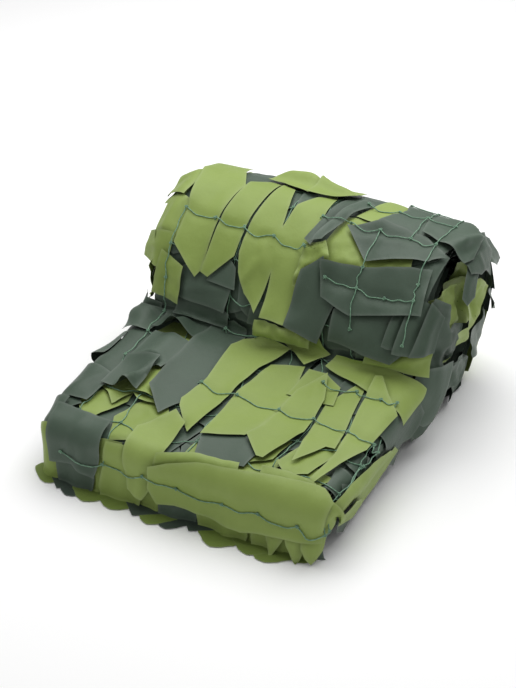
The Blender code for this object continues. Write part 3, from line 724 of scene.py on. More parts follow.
def right_of_lap():
    return (
        shown("right_under", "dark", ("leaf_01",), ((2, 0.5), (11.8, 0.8), (12.5, 6), (7.5, 9.5), (0.5, 6)), puff=1),
        shown(
            "right_side_high", "dark", ("leaf_03",), ((28, 33), (29, 38.5), (38, 38.5), (38, 35), (34.5, 32.5), (31, 31)),
            lift=5, crumple=3,
        ),
        shown(
            "right_side_dark", "dark", ("leaf_05",),
            ((27, 20), (27.5, 34), (34, 34.5), (38.2, 31.3), (35.5, 25), (31.5, 19.5)), lift=3, puff=2,
        ),
        shown(
            "right_side_low", "light", (), ((34, 24), (36.5, 26), (38.6, 22), (39, 14), (38, 9), (35.5, 7), (33.6, 12)),
            lift=2, puff=2,
        ),
        shown(
            "right_side_long", "light", ("leaf_04",),
            ((29.6, -1.5), (31.6, -1), (33.2, 3), (34.2, 9), (34.2, 22.5), (32, 20.5), (30.6, 14), (29.6, 6)),
            lift=3, puff=2, creases=((31.6, 8, 82, 8, 0.5, 1.6),),
        ),
        shown(
            "right_side_front", "light", (), ((32.5, 0.5), (35, 1), (38, 7), (37, 10.5), (34.5, 8.8), (32, 5.5)),
            lift=3, puff=2,
        ),
        shown(
            "right_corner", "light", (), ((27.5, -0.5), (32.8, 1.2), (34, -3), (31.5, -6), (28, -8.8)), lift=3, puff=2,
        ),
        shown(
            "middle_leaf", "light", ("leaf_16",),
            ((2, 29.8), (8.5, 31.6), (9.7, 24.5), (10.0, 18), (9.4, 11), (8, 8.2), (0.6, 5), (0.2, 19.5)),
            lift=3, puff=2,
        ),
        shown(
            "right_leaf", "light", ("leaf_17",),
            ((16.9, 23.6), (20, 30.7), (21.2, 33), (23.8, 16.8), (24.4, 11.8), (22.6, 11.8), (19.2, 5), (18, 13.2)),
            lift=3, puff=2,
        ),
        shown("between", "light", ("leaf_18",), ((8.8, 23), (18.6, 23), (17.4, 28.5), (13, 31.5), (9.6, 31)), lift=0, puff=1),
        shown(
            "back_patch", "light", ("leaf_19",), ((0, 38.6), (8.7, 41), (11.9, 37), (8.3, 31.4), (4.2, 34.6)),
            lift=4, puff=2, creases=((6.5, 35, 55, 4, 0.3, 1.2),),
        ),
        shown(
            "back_leaf", "light", ("leaf_20",),
            ((12.2, 32.6), (13.3, 37.7), (21.9, 38.2), (24.6, 37.6), (30.8, 36), (31.2, 26.6), (19.6, 30.2)),
            lift=4, puff=3, creases=((21, 34, 95, 3, 0.3, 1.4),),
        ),
        shown(
            "left_prong_leaf", "light", ("leaf_21",),
            (
                (-6.1, 34), (-3, 36.6), (0.5, 36), (4.2, 34.3), (1.9, 30), (0.8, 27.3), (-0.2, 21.4),
                (-0.7, 14.5), (-2.2, 5), (-7.2, 11), (-7.9, 13), (-6.6, 20.5), (-7.4, 31.4),
            ),
            lift=4, puff=3,
        ),
        shown(
            "spear_leaf", "light", ("leaf_22",),
            ((10.3, 24.5), (13.7, 30.7), (16.5, 23.6), (17.5, 13.2), (16.5, 10.5), (14.2, 3.6), (12.8, 3.6), (8.3, 8.4), (9.9, 12)),
            lift=5, puff=3, creases=((13.6, 26, 100, 4, 0.4, 1.6),),
        ),
        shown(
            "edge_leaf", "light", ("leaf_23",),
            ((22.2, 33.4), (23.5, 34), (29.4, 25.9), (28.7, 14.5), (25.4, 2.3), (23.9, 0), (25.2, 10.9), (24.5, 17)),
            lift=5, puff=3, creases=((24.6, 25, 99, 7, 0.5, 1.6),),
        ),
    )


# The leaves that hang down to the floor in front: (across, half width, lower end, slant, size of
# the hollow fold, cloth), in centimetres
PETALS = (
    (-28.5, 4.6, -15.6, 0.8, 1.0, "light"),
    (-16.5, 5.2, -17.0, -1.2, 1.6, "light"),
    (-22.5, 4.2, -16.2, 1.0, 1.4, "dark"),
    (-5.0, 4.8, -17.4, 1.4, 1.8, "light"),
    (-10.8, 4.4, -16.8, -1.0, 1.2, "light"),
    (1.8, 4.0, -16.6, -1.6, 1.5, "dark"),
    (14.5, 5.6, -17.0, 2.0, 1.6, "light"),
    (7.2, 5.2, -17.6, 2.4, 2.0, "light"),
    (21.5, 5.0, -17.2, -1.0, 1.5, "light"),
    (26.5, 3.4, -14.4, -0.8, 0.8, "light"),
)


def petal(across, half, low, slant):
    """The outline of a leaf that hangs down, with a round lower end."""
    turns = np.radians(np.linspace(180, 360, 9))
    bottom = [(across + slant + half * math.cos(t), low + 6.0 + 6.0 * math.sin(t)) for t in turns]
    return [(across + half * 0.9, -1.5), (across - half * 0.9, -2)] + bottom


def front_of_lap():
    """A row of leaves that hang down to the floor in hollow folds, and those above them."""
    hanging = [
        shown(
            f"petal_{k}", cloth, (), petal(across, half, low, slant),
            lift=2 + k % 3, puff=2, vaults=((across + slant, low, 90 - 4 * slant, 11, fold, 0.85 * half),),
        )
        for k, (across, half, low, slant, fold, cloth) in enumerate(PETALS, start=1)
    ]
    return tuple(hanging) + (
        shown("front_bit_left", "light", (), ((17.5, -7), (22.4, -7), (22, -10), (20.2, -13.4), (18.4, -10)), lift=4, vaults=((20.2, -13, 90, 7, 1.2, 2),)),
        shown("front_bit", "light", (), ((22, -7), (26.4, -7), (26.2, -10.5), (25.4, -13.8), (23, -10.5)), lift=4, vaults=((24.6, -13, 90, 7, 1.2, 2),)),
        shown("front_bit_right", "light", (), ((25.4, -6), (29.6, -6.4), (29, -10), (27.6, -12.6), (26, -10)), lift=3, vaults=((27.6, -12, 90, 6, 0.8, 2),)),
        shown(
            "front_dark", "dark", ("leaf_24",), ((-28, 2.5), (-16.5, 2), (-15.5, -4), (-17, -9.5), (-22, -8), (-27, -9)),
            lift=3, puff=2, creases=((-22, -2, 80, 5, 0.5, 2.0),), vaults=((-20, -9, 90, 7, 1.2, 3),),
        ),
        shown(
            "front_left", "light", ("leaf_25",), ((-11.5, 3), (-7, 9.5), (-3.6, 7), (-3.4, 0), (-4, -6), (-6.5, -10.5), (-10, -9.5)),
            lift=3, puff=2, vaults=((-7.5, -10.5, 90, 11, 1.4, 3),),
        ),
        shown(
            "front_fold", "light", (), ((-4.5, -1.5), (2, -0.2), (11, 0.8), (12, -2.5), (4, -4), (-4.6, -5)),
            lift=3, crumple=3, creases=((4, -1, 8, 6, 0.6, 1.3),),
        ),
        shown("front_fold_right", "light", (), ((15, 1.8), (20.5, 2.4), (26, 1.2), (27.5, -3), (16, -2.5)), lift=2, crumple=3),
        shown(
            "front_right", "light", ("leaf_26",),
            (
                (-5.2, -3.4), (-1.5, -2.4), (4, -1.4), (11, -0.8), (19, 0.2), (27.6, 0.6), (29.2, -0.6),
                (28.8, -8), (22, -8.8), (14, -10.4), (8, -10.2), (0, -9.8), (-3.6, -10.6), (-5.4, -7.5),
            ),
            lift=4, puff=2, creases=((5.5, -5, 80, 7, 0.5, 2.6),), vaults=((13, -10.4, 92, 9, 0.9, 6),),
        ),
    )


def front_of_roll():
    return (
        shown("crease_dark_left", "dark", ("leaf_27",), ((-22.5, 36.3), (-10.5, 35.8), (-10, 40.5), (-22, 41.5)), crumple=3),
        shown("crease_dark_middle", "dark", ("leaf_28",), ((-6, 39.8), (3.2, 39.5), (3, 44.5), (-5.5, 44)), crumple=3),
        shown(
            "crease_light", "light", ("leaf_29",), ((19, 38), (30.5, 37.5), (31.5, 42.5), (25, 44), (19.5, 42.5)),
            lift=6, puff=3, creases=((25.5, 40, 20, 6, 1.2, 1.2),),
        ),
        shown(
            "crumple_light_middle", "light", (), ((-4, 38), (2, 39), (8, 38.2), (7.6, 42), (2, 41.4), (-3.6, 41.6)),
            lift=5, crumple=15, creases=((-1, 40, 10, 3, 1.0, 1.6), (4.5, 40.2, -8, 3, 1.2, 1.6)),
        ),
        shown(
            "dark_fold_left", "dark", (), ((-22.3, 41), (-11, 40.6), (-10.4, 46.4), (-15.5, 50), (-22, 47)),
            lift=4, puff=4, creases=((-16, 44, 8, 5, 0.6, 1.6),),
        ),
        shown("dark_wedge_left", "dark", (), ((-16, 45.5), (-9.6, 45), (-10.5, 49), (-13, 51)), lift=2),
        shown("end_flap", "light", ("leaf_30",), ((-33, 60), (-27.5, 59), (-26.8, 68), (-31.8, 67)), lift=5),
        shown(
            "end_strip", "light", (), ((-31.5, 52), (-24.8, 51), (-24.6, 60), (-30.5, 61.5)),
            lift=4, puff=3, creases=((-27.8, 56, 80, 6, 0.5, 1.6),),
        ),
        shown("end_lobe", "light", (), ((-34, 62.5), (-27, 60.5), (-26.4, 72), (-28.6, 76), (-33.5, 73)), lift=5, puff=5, vaults=((-33.5, 69, 0, 8, 1.6, 4),)),
        shown("end_bit", "light", (), ((-33.6, 46.6), (-25.4, 45), (-25.2, 52.6), (-32.6, 52.4)), lift=4, puff=2, creases=((-31, 49, 10, 3, 0.6, 1.4),)),
        shown("low_light", "light", ("leaf_31",), ((-27.6, 40.6), (-21.2, 40), (-21.4, 46.8), (-26.8, 49)), lift=3, crumple=6),
        shown("dark_triangle", "dark", (), ((-18, 66), (-10.6, 71), (-4.2, 74), (-6, 80), (-20, 79), (-21, 73)), puff=1),
        shown("dark_crest", "dark", (), ((-4, 63.6), (-1, 67), (1, 73.8), (8.5, 68), (12, 74), (13.5, 81), (-5, 81), (-6, 72.6)), lift=2, puff=2),
        shown(
            "strip_first", "light", ("leaf_34", "leaf_38"),
            ((-24.8, 50.8), (-18.4, 45.6), (-17.5, 47), (-17.6, 57.6), (-16.9, 67.2), (-20.4, 73.8), (-21.5, 79), (-27.8, 79), (-27.6, 70), (-26.4, 64), (-24.9, 58)),
            lift=3, puff=4, creases=((-22.6, 66, 88, 8, 0.25, 2.4),),
        ),
        shown(
            "strip_second", "light", ("leaf_32", "leaf_36"),
            ((-17.2, 46.8), (-15.6, 46.2), (-11.4, 51), (-11.4, 57), (-11.1, 64), (-10.6, 71.5), (-12, 72.6), (-16.4, 68.2), (-17, 58)),
            lift=3, puff=4,
        ),
        shown(
            "strip_third", "light", ("leaf_33", "leaf_35", "leaf_37", "leaf_39"),
            (
                (-10.5, 52), (-9.6, 48.4), (-7.4, 45), (-3.9, 42.6), (-3.2, 50), (-2.6, 42.2), (3.6, 42), (3, 50), (2.4, 57.5),
                (1.8, 70), (0.4, 73.6), (-3.8, 64.4), (-4.3, 58.8), (-5.2, 63.8), (-7, 69.4), (-9.8, 71), (-10.4, 63), (-10.7, 57),
            ),
            lift=3, puff=4,
            creases=((-7.4, 49, 65, 3, 0.7, 1.3), (-5.4, 52, 115, 3, 0.6, 1.3), (-3, 56, 160, 5, 0.3, 1.8)),
        ),
        shown("light_glimpse", "light", ("leaf_40",), ((4.5, 55), (10, 54), (24, 55.4), (23, 59.5), (11.8, 66), (6, 66)), lift=1, crumple=8),
        shown("light_sliver", "light", (), ((8, 66), (13, 65.5), (18, 72), (17, 77), (10, 77)), lift=1, puff=2),
        shown(
            "light_bunch", "light", (), ((2.3, 48.5), (7.5, 48), (7.8, 55), (5.6, 58), (2.2, 57)), lift=4, crumple=16,
        ),
        shown("pleat_1", "dark", (), ((1.6, 57), (3.4, 56), (4.6, 64), (6.4, 72.5), (3.8, 73)), lift=3, creases=((3.2, 63, 80, 7, 0.8, 1.1),)),
        shown("pleat_2", "dark", (), ((3.4, 56.5), (5.2, 57.5), (7.4, 66), (9.4, 71.5), (6.6, 72.5), (5, 65)), lift=4, creases=((5.4, 63, 74, 7, 0.9, 1.1),)),
        shown(
            "dark_narrow", "dark", ("leaf_41",), ((2.9, 42.2), (9.5, 40), (11.2, 47), (7, 54.6), (3.4, 51.5)),
            lift=4, puff=4, creases=((6.6, 49, 88, 6, 0.4, 1.3),),
        ),
        shown("dark_low", "dark", ("leaf_42",), ((11.6, 41), (24.5, 39.6), (27, 42), (26.4, 48), (15, 47.9), (11.5, 46.5)), lift=5, puff=4),
        shown("end_fold_1", "dark", (), ((22.5, 42.5), (25.5, 42.3), (26.4, 52), (23.6, 52.6)), lift=5, creases=((24.4, 47, 84, 6, 0.9, 1.3),)),
        shown("end_fold_2", "dark", (), ((25, 42), (28, 41.8), (29.2, 51.6), (26, 52)), lift=5, creases=((27, 47, 82, 6, 1.1, 1.3),)),
        shown("end_fold_3", "dark", (), ((27.6, 42), (31.5, 42.4), (32.5, 50), (29, 52)), lift=4, creases=((30, 46.5, 80, 6, 1.0, 1.3),)),
        shown(
            "dark_wide", "dark", ("leaf_43",), ((6.8, 53.8), (17, 55.4), (27.6, 57.6), (28, 49), (14.7, 46), (8.6, 48)),
            lift=6, puff=4, creases=((12, 51, 85, 4, 0.3, 1.2), (14, 51.5, 80, 4, 0.25, 1.2)),
        ),
        shown(
            "dark_top", "dark", ("leaf_44",),
            ((12.6, 66.2), (20, 64.4), (26, 66.2), (32, 64), (33, 70), (28.5, 77), (14, 77.5), (15.4, 73)),
            lift=5, puff=4, creases=((23, 70.5, 3, 9, 0.6, 1.6), (26, 67.8, 172, 6, 0.5, 1.2)),
        ),
        shown(
            "dark_spear", "dark", ("leaf_45",), ((7.9, 62.4), (14.5, 56), (26.4, 58.8), (28.8, 61), (23.4, 64.6), (14, 66)),
            lift=6, puff=4, creases=((17, 61.5, 8, 8, 0.25, 2.0),),
        ),
        shown("end_flap_right", "dark", (), ((32.6, 63.6), (35.6, 69), (40.4, 59), (39, 55), (36, 55.6)), lift=5, puff=2, creases=((36.4, 62, 105, 5, 0.6, 1.8),)),
        shown(
            "end_round", "dark", (), ((30.5, 63), (35.5, 62), (38.4, 66), (38.4, 72), (34, 77), (29.6, 77)),
            lift=6, puff=5, creases=((34.5, 68, 10, 4, 0.8, 1.6),),
        ),
        shown(
            "dark_peak", "dark", (), ((22, 65.4), (31.8, 62), (33.4, 65), (31, 73), (26, 75.4), (21, 71)),
            lift=4, puff=2, creases=((30, 68, 72, 5, 2.4, 2.2), (26, 67.6, 160, 5, 0.6, 1.6)),
        ),
        shown("tent", "light", (), ((-14.5, 72), (-9, 70), (-4.6, 69.8), (-2, 74), (-3, 81), (-14, 81)), lift=3, puff=1, creases=((-8.8, 75.6, 176, 5, 3.6, 2.6),)),
        shown("tent_right", "light", (), ((-4.4, 69), (1.4, 70), (5, 72), (4, 79), (-4, 78)), lift=4, puff=1, creases=((-0.4, 73.6, 168, 4.5, 2.0, 2.0),)),
    )


# (name, cloth, solid that it stands for on the right end and on the left, outline, lift, crumple).
# The outlines are of the right end, and the left end has them mirrored, in the other cloth.
END_LEAVES = (
    ("deep", "dark", (), (), ((-11.5, 21), (-3, 19.5), (7, 18.5), (8, 13), (2, 9), (-6, 8), (-12.5, 13)), 3, 8),
    ("low", "dark", (), (), ((-19, 10), (-12, 9.5), (-2.5, 8), (-0.5, 3.5), (-4, 0.5), (-18, 0.8)), 8, 5),
    ("low_back", "dark", (), (), ((-3, 9), (6, 8.5), (10, 5), (8, 0.6), (-1, 0.6)), 7, 6),
    ("high", "light", (), (), ((1, 31), (7.5, 29), (10.5, 24), (6, 23.5), (0, 26.5)), 6, 6),
    ("core_back", "light", (), (), ((-3.5, 30), (0, 29), (5, 26), (9.5, 23), (12.5, 17), (8, 16.6), (3, 17.8), (-2.8, 19.6)), 12, 12),
    ("core_strip", "light", (), (), ((-15, 15.5), (-9, 14), (-3.5, 12.8), (-2.4, 10.6), (-8.5, 12.2), (-15, 13)), 10, 3),
    ("core_front", "light", ("tuck_01",), (), ((-12, 28.5), (-9.5, 30.4), (-4.4, 30), (-4.6, 25), (-4.2, 19), (-7.5, 20.3), (-10.8, 21.8)), 20, 8),
    ("core_mid", "light", (), (), ((-4.6, 29.4), (2.6, 28), (6.6, 24.4), (3, 20), (-2.4, 18.8), (-3.6, 24)), 16, 12),
    ("tongue", "light", (), ("tuck_03",), ((-8.2, 21.3), (-4.4, 21), (-2.8, 17.4), (-5, 16.4)), 16, 3),
    ("back_low", "dark", (), (), ((7.5, 17.8), (13, 17), (17.3, 12), (16, 8), (11.5, 5.5), (7.6, 6.5), (6.3, 12)), 12, 4),
    ("back", "dark", ("tuck_02",), (), ((8.6, 28), (15, 27.5), (17.6, 21), (17.5, 13), (13, 15.5), (10.4, 20), (8, 24.5)), 18, 2),
    ("top", "dark", (), (), ((2, 35.2), (8, 35), (13.8, 30.5), (16, 25.5), (12, 26), (6.5, 30), (0.5, 33)), 20, 2),
    ("front_low", "dark", (), (), ((-15, 13.4), (-9, 12.4), (-3, 12), (1.5, 10), (-3, 6.5), (-15, 8)), 12, 5),
    ("front", "dark", (), (), ((-17, 24), (-13.5, 31), (-11, 29), (-10.4, 20), (-12, 14.5), (-16.4, 16.5)), 16, 9),
)


def end_leaves(side):
    rng = random.Random(5 + side)
    rows = []
    for name, cloth, right, left, outline, lift, crumple in END_LEAVES:
        if side < 0:
            outline = [(-y + rng.uniform(-0.8, 0.8), z + rng.uniform(-0.6, 0.6)) for y, z in outline]
            cloth = "dark" if cloth == "light" and name not in ("tongue", "high") else "light"
        place, nodes = ("right", right) if side > 0 else ("left", left)
        rows.append(shown(f"{place}_end_{name}", cloth, nodes, outline, lift=lift, puff=5, crumple=crumple))
    return tuple(rows)


# Smaller leaves in the gaps, under those that show


def cut_leaf(rng, cloth, across, along, width, length, turn, seed, **form):
    """A leaf with slanted or pointed ends, as they are cut from a strip of cloth."""
    turn = math.radians(turn)
    lengthwise = np.array([math.sin(turn), math.cos(turn)])
    crosswise = np.array([math.cos(turn), -math.sin(turn)])
    outline = []
    for side, shares in ((-1, (-0.5, 0.0, 0.5)), (1, (0.5, 0.0, -0.5))):
        slant, tip = rng.uniform(-0.35, 0.35), rng.choice((0.0, 0.0, 0.3, 0.5))
        for share in shares:
            end = side * length / 2 + (slant * share + side * tip * (1 - abs(2 * share))) * width
            end += rng.uniform(-0.04, 0.04) * width
            outline.append(np.array([across, along]) + crosswise * share * width + lengthwise * end)
    return Leaf(cloth, outline, seed=seed, **form)


# Most fills are dark cloth: partly the net's own dark leaves that show in its gaps, partly painted shade that makes the
# shallow gaps between the leaves above look deep.
# (name, cloth, across from and to, along from and to, columns, rows, turn, size in centimetres,
# how far it may stray, crumple in millimetres)
FILLS = (
    ("fill_front", "dark", -28, 28, -11, -2, 6, 1, 0, 10.5, 1.0, 1),
    ("fill_lap", "dark", -28, 28, 1, 37, 6, 4, 8, 10.5, 1.0, 3),
    ("fill_lap_light", "light", -25, -9, 3, 33, 2, 4, 25, 7.5, 1.5, 5),
    ("fill_lap_gaps", "light", 0, 27, 0, 12, 3, 2, 20, 7.5, 1.5, 4),
    ("fill_side_right", "dark", 29, 36.4, 1, 38, 2, 5, 90, 6.6, 0.5, 3),
    ("fill_side_left", "dark", -36.4, -29, 1, 38, 2, 5, 90, 6.6, 0.5, 3),
    ("fill_crease", "dark", -26, 27, 37, 44, 6, 2, 85, 8.0, 1.0, 5),
    ("fill_roll", "dark", -28, 29, 44, 78, 6, 4, 0, 10.5, 0.8, 3),
    ("fill_back_dark", "dark", -28, 28, 78, 122, 5, 5, 12, 11.5, 1.5, 2),
    ("fill_back_light", "light", -27, 27, 80, 118, 4, 4, 30, 9.0, 2.5, 3),
)


def fill_leaves(row, seed):
    name, cloth, x_low, x_high, s_low, s_high, columns, rows, turn, size, stray, crumple = row
    rng = random.Random(seed)
    leaves = []
    for i in range(columns):
        for j in range(rows):
            across = x_low + (x_high - x_low) * (i + 0.5) / columns + rng.uniform(-stray, stray)
            along = s_low + (s_high - s_low) * (j + 0.5) / rows + rng.uniform(-stray, stray)
            width, length = size * rng.uniform(0.8, 1.0), size * rng.uniform(1.05, 1.3)
            turned = turn + rng.uniform(-15, 15)
            number = seed * 50 + len(leaves)
            leaves.append(cut_leaf(rng, cloth, across, along, width, length, turned, number, puff=3, crumple=crumple))
    return name, leaves


# The leaves on the roll's back, as in the solids: (along, length) and (across, width)
BACK_ROWS = ((83.0, 13.0), (95.0, 14.0), (108.0, 14.0))
BACK_COLUMNS = ((-19.5, 18.0), (0.0, 19.5), (19.5, 18.0))
BACK_CLOTHS = (("light", "light", "dark"), ("dark", "light", "dark"), ("dark", "dark", "light"))
BACK_SPLIT = 3  # each of them is cut into this many leaves side by side
FIRST_BACK_NODE = 46


def back_leaves():
    rows = []
    for row, (along, length) in enumerate(BACK_ROWS):
        for column, (across, width) in enumerate(BACK_COLUMNS):
            rng = random.Random(900 + row * 10 + column)
            node = f"leaf_{FIRST_BACK_NODE + row * len(BACK_COLUMNS) + column:02d}"
            part = width / BACK_SPLIT
            leaves = []
            for k in range(BACK_SPLIT):
                x = across + (k - (BACK_SPLIT - 1) / 2) * part
                s = along + rng.uniform(-1.2, 1.2)
                number = 300 + row * 40 + column * 9 + k
                cloth = BACK_CLOTHS[row][column]
                turned = rng.uniform(-6, 6)
                form = {"lift": rng.uniform(1, 3), "puff": rng.uniform(2, 4), "crumple": rng.choice((0, 0, 3))}
                leaves.append(cut_leaf(rng, cloth, x, s, part * 1.02, length, turned, number, **form))
            rows.append((f"back_{row + 1}_{column + 1}", node, leaves))
    return rows


# The folded lap and the wound roll under the leaves


def thin_sheet(name, lines, thickness):
    """A closed thin sheet through lines of points. Lines and points are in order, and each
    point's offset is the sheet's own normal there."""
    points = np.array(lines)
    count, wide = points.shape[:2]
    along = np.gradient(points, axis=0)
    across = np.gradient(points, axis=1)
    normals = np.cross(across, along)
    normals /= np.maximum(1e-12, np.linalg.norm(normals, axis=2))[:, :, None]
    shape = bmesh.new()
    uv = shape.loops.layers.uv.new("cloth")
    look = shape.loops.layers.float_color.new("look")
    sides = []
    for offset in (-thickness / 2, thickness / 2):
        moved = points + normals * offset
        sides.append([[shape.verts.new(p) for p in line] for line in moved])
    run = np.zeros((count, wide))
    run[1:] = np.cumsum(np.linalg.norm(np.diff(points, axis=0), axis=2), axis=0)

    def add_face(corners):
        face = shape.faces.new([sides[k][i][j] for i, j, k in corners])
        face.smooth = True
        for loop, (i, j, _) in zip(face.loops, corners):
            loop[uv].uv = (points[i, j, 0], run[i, j])
            loop[look] = (0.3, 0.0, 0.4, 1.0)

    for i in range(count - 1):
        for j in range(wide - 1):
            quad = [(i, j), (i, j + 1), (i + 1, j + 1), (i + 1, j)]
            add_face([(a, b, 1) for a, b in quad])
            add_face([(a, b, 0) for a, b in reversed(quad)])
    rim = [(0, j) for j in range(wide)] + [(i, wide - 1) for i in range(1, count)]
    rim += [(count - 1, j) for j in range(wide - 2, -1, -1)] + [(i, 0) for i in range(count - 2, 0, -1)]
    for (a, b), (c, d) in zip(rim, rim[1:] + rim[:1]):
        add_face([(a, b, 0), (c, d, 0), (c, d, 1), (a, b, 1)])
    bmesh.ops.recalc_face_normals(shape, faces=shape.faces)
    mesh = bpy.data.meshes.new(name)
    shape.to_mesh(mesh)
    shape.free()
    return add_object(name, mesh), float(run[-1].mean())


LAP_LAYERS = 11
LAYER_SHEET = 0.0016
TURNS = 11
TURN_STEPS = 46


def make_lap_folds():
    """The lap's many layers, one sheet folded back and forth, each fold a little uneven."""
    stations = np.linspace(LAP_FRONT_Y + 0.006, LAP_BACK_Y, 30)
    lines = []
    pitch = 1.0 / LAP_LAYERS
    for layer in range(LAP_LAYERS):
        side = 1 if layer % 2 == 0 else -1
        for share in (-0.9, -0.45, 0.0, 0.45, 0.9):
            lines.append([(side * share * 0.25, (layer + 0.5) * pitch, y) for y in stations])
        if layer < LAP_LAYERS - 1:
            for turn in (-75, -30, 30, 75):
                line = []
                for y in stations:
                    reach = 0.262 + 0.014 * noise.noise(Vector((layer * 3.1, y * 14, side * 5.0)))
                    x = side * (reach + 0.006 * math.cos(math.radians(turn)))
                    line.append((x, (layer + 1 + 0.5 * math.sin(math.radians(turn))) * pitch, y))
                lines.append(line)
    points = []
    for line in lines:
        row = []
        for x, share, y in line:
            along = min((y - TOP_START[0]) / math.cos(LAP_SLOPE), (TOP_LENGTH + ROLL_START) / 2)
            top = lap_top(y) + float(swell(np.array([x]), np.array([along]))[0]) - 0.003
            ripple = 0.0022 * noise.noise(Vector((x * 20, y * 16, share * 40)))
            row.append((x, y, max(0.0022, share * top + ripple)))
        points.append(row)
    piece, length = thin_sheet("lap_folds", points, LAYER_SHEET)
    dress(piece, CLOTHS["dark"], "core", "lap")


def roll_outline(angle):
    """How far the roll reaches from its core's centre in one direction, (Y, Z)."""
    way = direction(np.float64(angle))
    off = CORE_CENTRE - ROLL_CENTRE
    half = off @ way
    reach = -half + math.sqrt(half * half - off @ off + ROLL_RADIUS**2)
    steps = np.linspace(0.02, reach, 80)
    for step in steps:
        y, z = CORE_CENTRE + way * step
        if z < 0.002 or (y < LAP_BACK_Y + 0.01 and z < lap_top(y) + 0.002):
            return step - 0.002
    return reach


def make_roll_turns():
    """The wound net, one sheet in a spiral whose edges are uneven at both ends of the roll."""
    edges = (-1.0, -0.93, -0.8, -0.4, 0.4, 0.8, 0.93, 1.0)
    lines = []
    outline = [roll_outline(2 * math.pi * k / TURN_STEPS) for k in range(TURN_STEPS)]
    for step in range(int(TURNS * TURN_STEPS) - 20):
        angle = 2 * math.pi * step / TURN_STEPS - math.pi / 2
        share = 1 - (step / TURN_STEPS + 0.45) / (TURNS + 0.4)
        around = outline[int(round(angle / (2 * math.pi) * TURN_STEPS)) % TURN_STEPS]
        line = []
        for edge in edges:
            side = 1 if edge > 0 else -1
            ruffle = noise.noise(Vector((side * 9.0, step * 0.11, 1.5)))
            lean = noise.noise(Vector((side * 4.0, step * 0.23, 7.5)))
            half = 0.262 + 0.012 * smooth((share - 0.5) / 0.3) + 0.016 * ruffle
            radius = share * around + 0.004 * lean * abs(edge) ** 6
            y, z = CORE_CENTRE + radius * direction(np.float64(angle))
            line.append((edge * half, y, z))
        lines.append(line)
    piece, length = thin_sheet("roll_turns", lines, LAYER_SHEET)
    dress(piece, CLOTHS["dark"], "core", "roll")


# The twine

WARPS = (
    # across in centimetres on the lap, at the crease and on the roll
    (-24.2, -24.6, -25.0),
    (-15.2, -17.6, -18.4),
    (-6.9, -10.8, -11.8),
    (0.5, -4.0, -4.9),
    (9.8, 3.2, 2.0),
    (16.8, 9.8, 8.3),
    (24.7, 16.2, 14.4),
    (29.0, 22.0, 20.4),
    (30.0, 26.5, 26.2),
)
WEFTS = (-6.0, 3.0, 11.5, 19.8, 28.2, 36.0, 43.8, 50.8, 57.8, 64.4, 71.0, 77.8, 84.6, 91.4, 98.2, 105.0, 111.8, 118.0)
WEFT_SLANTS = {19.8: -3.4, 57.8: -3.6, 64.4: -1.6}  # how far such a line drops towards the right
# The runs of strands that lie over the leaves, as (first warp, last warp, first weft, last weft)
OVER = (
    (2, 8, 3, 3), (0, 4, 8, 8), (4, 8, 9, 9), (5, 8, 7, 7), (6, 6, 6, 9), (5, 8, 10, 10), (7, 7, 9, 11),
    (8, 8, 6, 11), (2, 3, 5, 5), (0, 8, 0, 0), (0, 0, 3, 8), (0, 8, 12, 17), (6, 8, 11, 11), (5, 8, 4, 4),
)
STRAND_RADIUS = 0.00105
STRAND_POINTS = 14
TUBE_SIDES = 6
DIVE = 0.14  # the share of a strand in which it comes out over a leaf


def warp_across(index, along):
    lap, middle, roll = WARPS[index]
    near = lap + (middle - lap) * smooth((along - 20) / 18)
    return near + (roll - near) * smooth((along - 38) / 16)


def knot_place(i, j, rng):
    along = WEFTS[j] + WEFT_SLANTS.get(WEFTS[j], 0.0) * (i / (len(WARPS) - 1)) + rng.uniform(-0.5, 0.5)
    return np.array([warp_across(i, along) + rng.uniform(-0.35, 0.35), along]) * CM


def is_over(first, second):
    """Whether a strand between two knots, each (warp, weft), lies over the leaves."""
    return any(
        all(i0 <= i <= i1 and j0 <= j <= j1 for i, j in (first, second)) for i0, i1, j0, j1 in OVER
    )


def slack_line(start, stop, slack, rng):
    """The places of a strand between two knots, which hangs down the slope."""
    t = np.linspace(0, 1, STRAND_POINTS)
    ends = stop - start
    side = np.array([-ends[1], ends[0]]) / np.linalg.norm(ends)
    if side[1] > 0:
        side = -side
    bow = slack * np.sin(math.pi * t) + rng.uniform(-0.3, 0.3) * slack * np.sin(2 * math.pi * t)
    wave = 0.0018 * np.sin(t * rng.uniform(7, 12) + rng.uniform(0, 6)) * np.sin(math.pi * t)
    return start + np.outer(t, ends) + np.outer(bow + wave, side)


def net_strands():
    """The net's knots and strands: {(i, j): place} and [(first knot, second knot, places, over)]."""
    rng = random.Random(41)
    knots = {(i, j): knot_place(i, j, rng) for i in range(len(WARPS)) for j in range(len(WEFTS))}
    strands = []
    for (i, j), start in knots.items():
        for other in ((i + 1, j), (i, j + 1)):
            if other in knots:
                slack = rng.uniform(0.002, 0.012) if other[0] > i else rng.uniform(0.0, 0.003)
                places = slack_line(start, knots[other], slack, rng)
                strands.append(((i, j), other, places, is_over((i, j), other)))
    return knots, strands


def pull_in(strands):
    """Leaves are held down along the strands that lie over them."""
    for _, _, places, over in strands:
        if over:
            window, far = BAND.near_line(places, 0.03)
            held = 1 - 0.8 * np.exp(-((far / 0.010) ** 2))
            BAND.slack[window] = np.minimum(BAND.slack[window], held)


def lay_low_strands(strands):
    """The other strands go on the pile before the leaves that show."""
    low = BAND.top.copy()
    for _, _, places, over in strands:
        if not over:
            window, far = BAND.near_line(places, 0.01)
            raised = np.where(far < 0.004, low[window] + 2.4 * STRAND_RADIUS, 0.0)
            BAND.top[window] = np.maximum(BAND.top[window], raised)
    return low


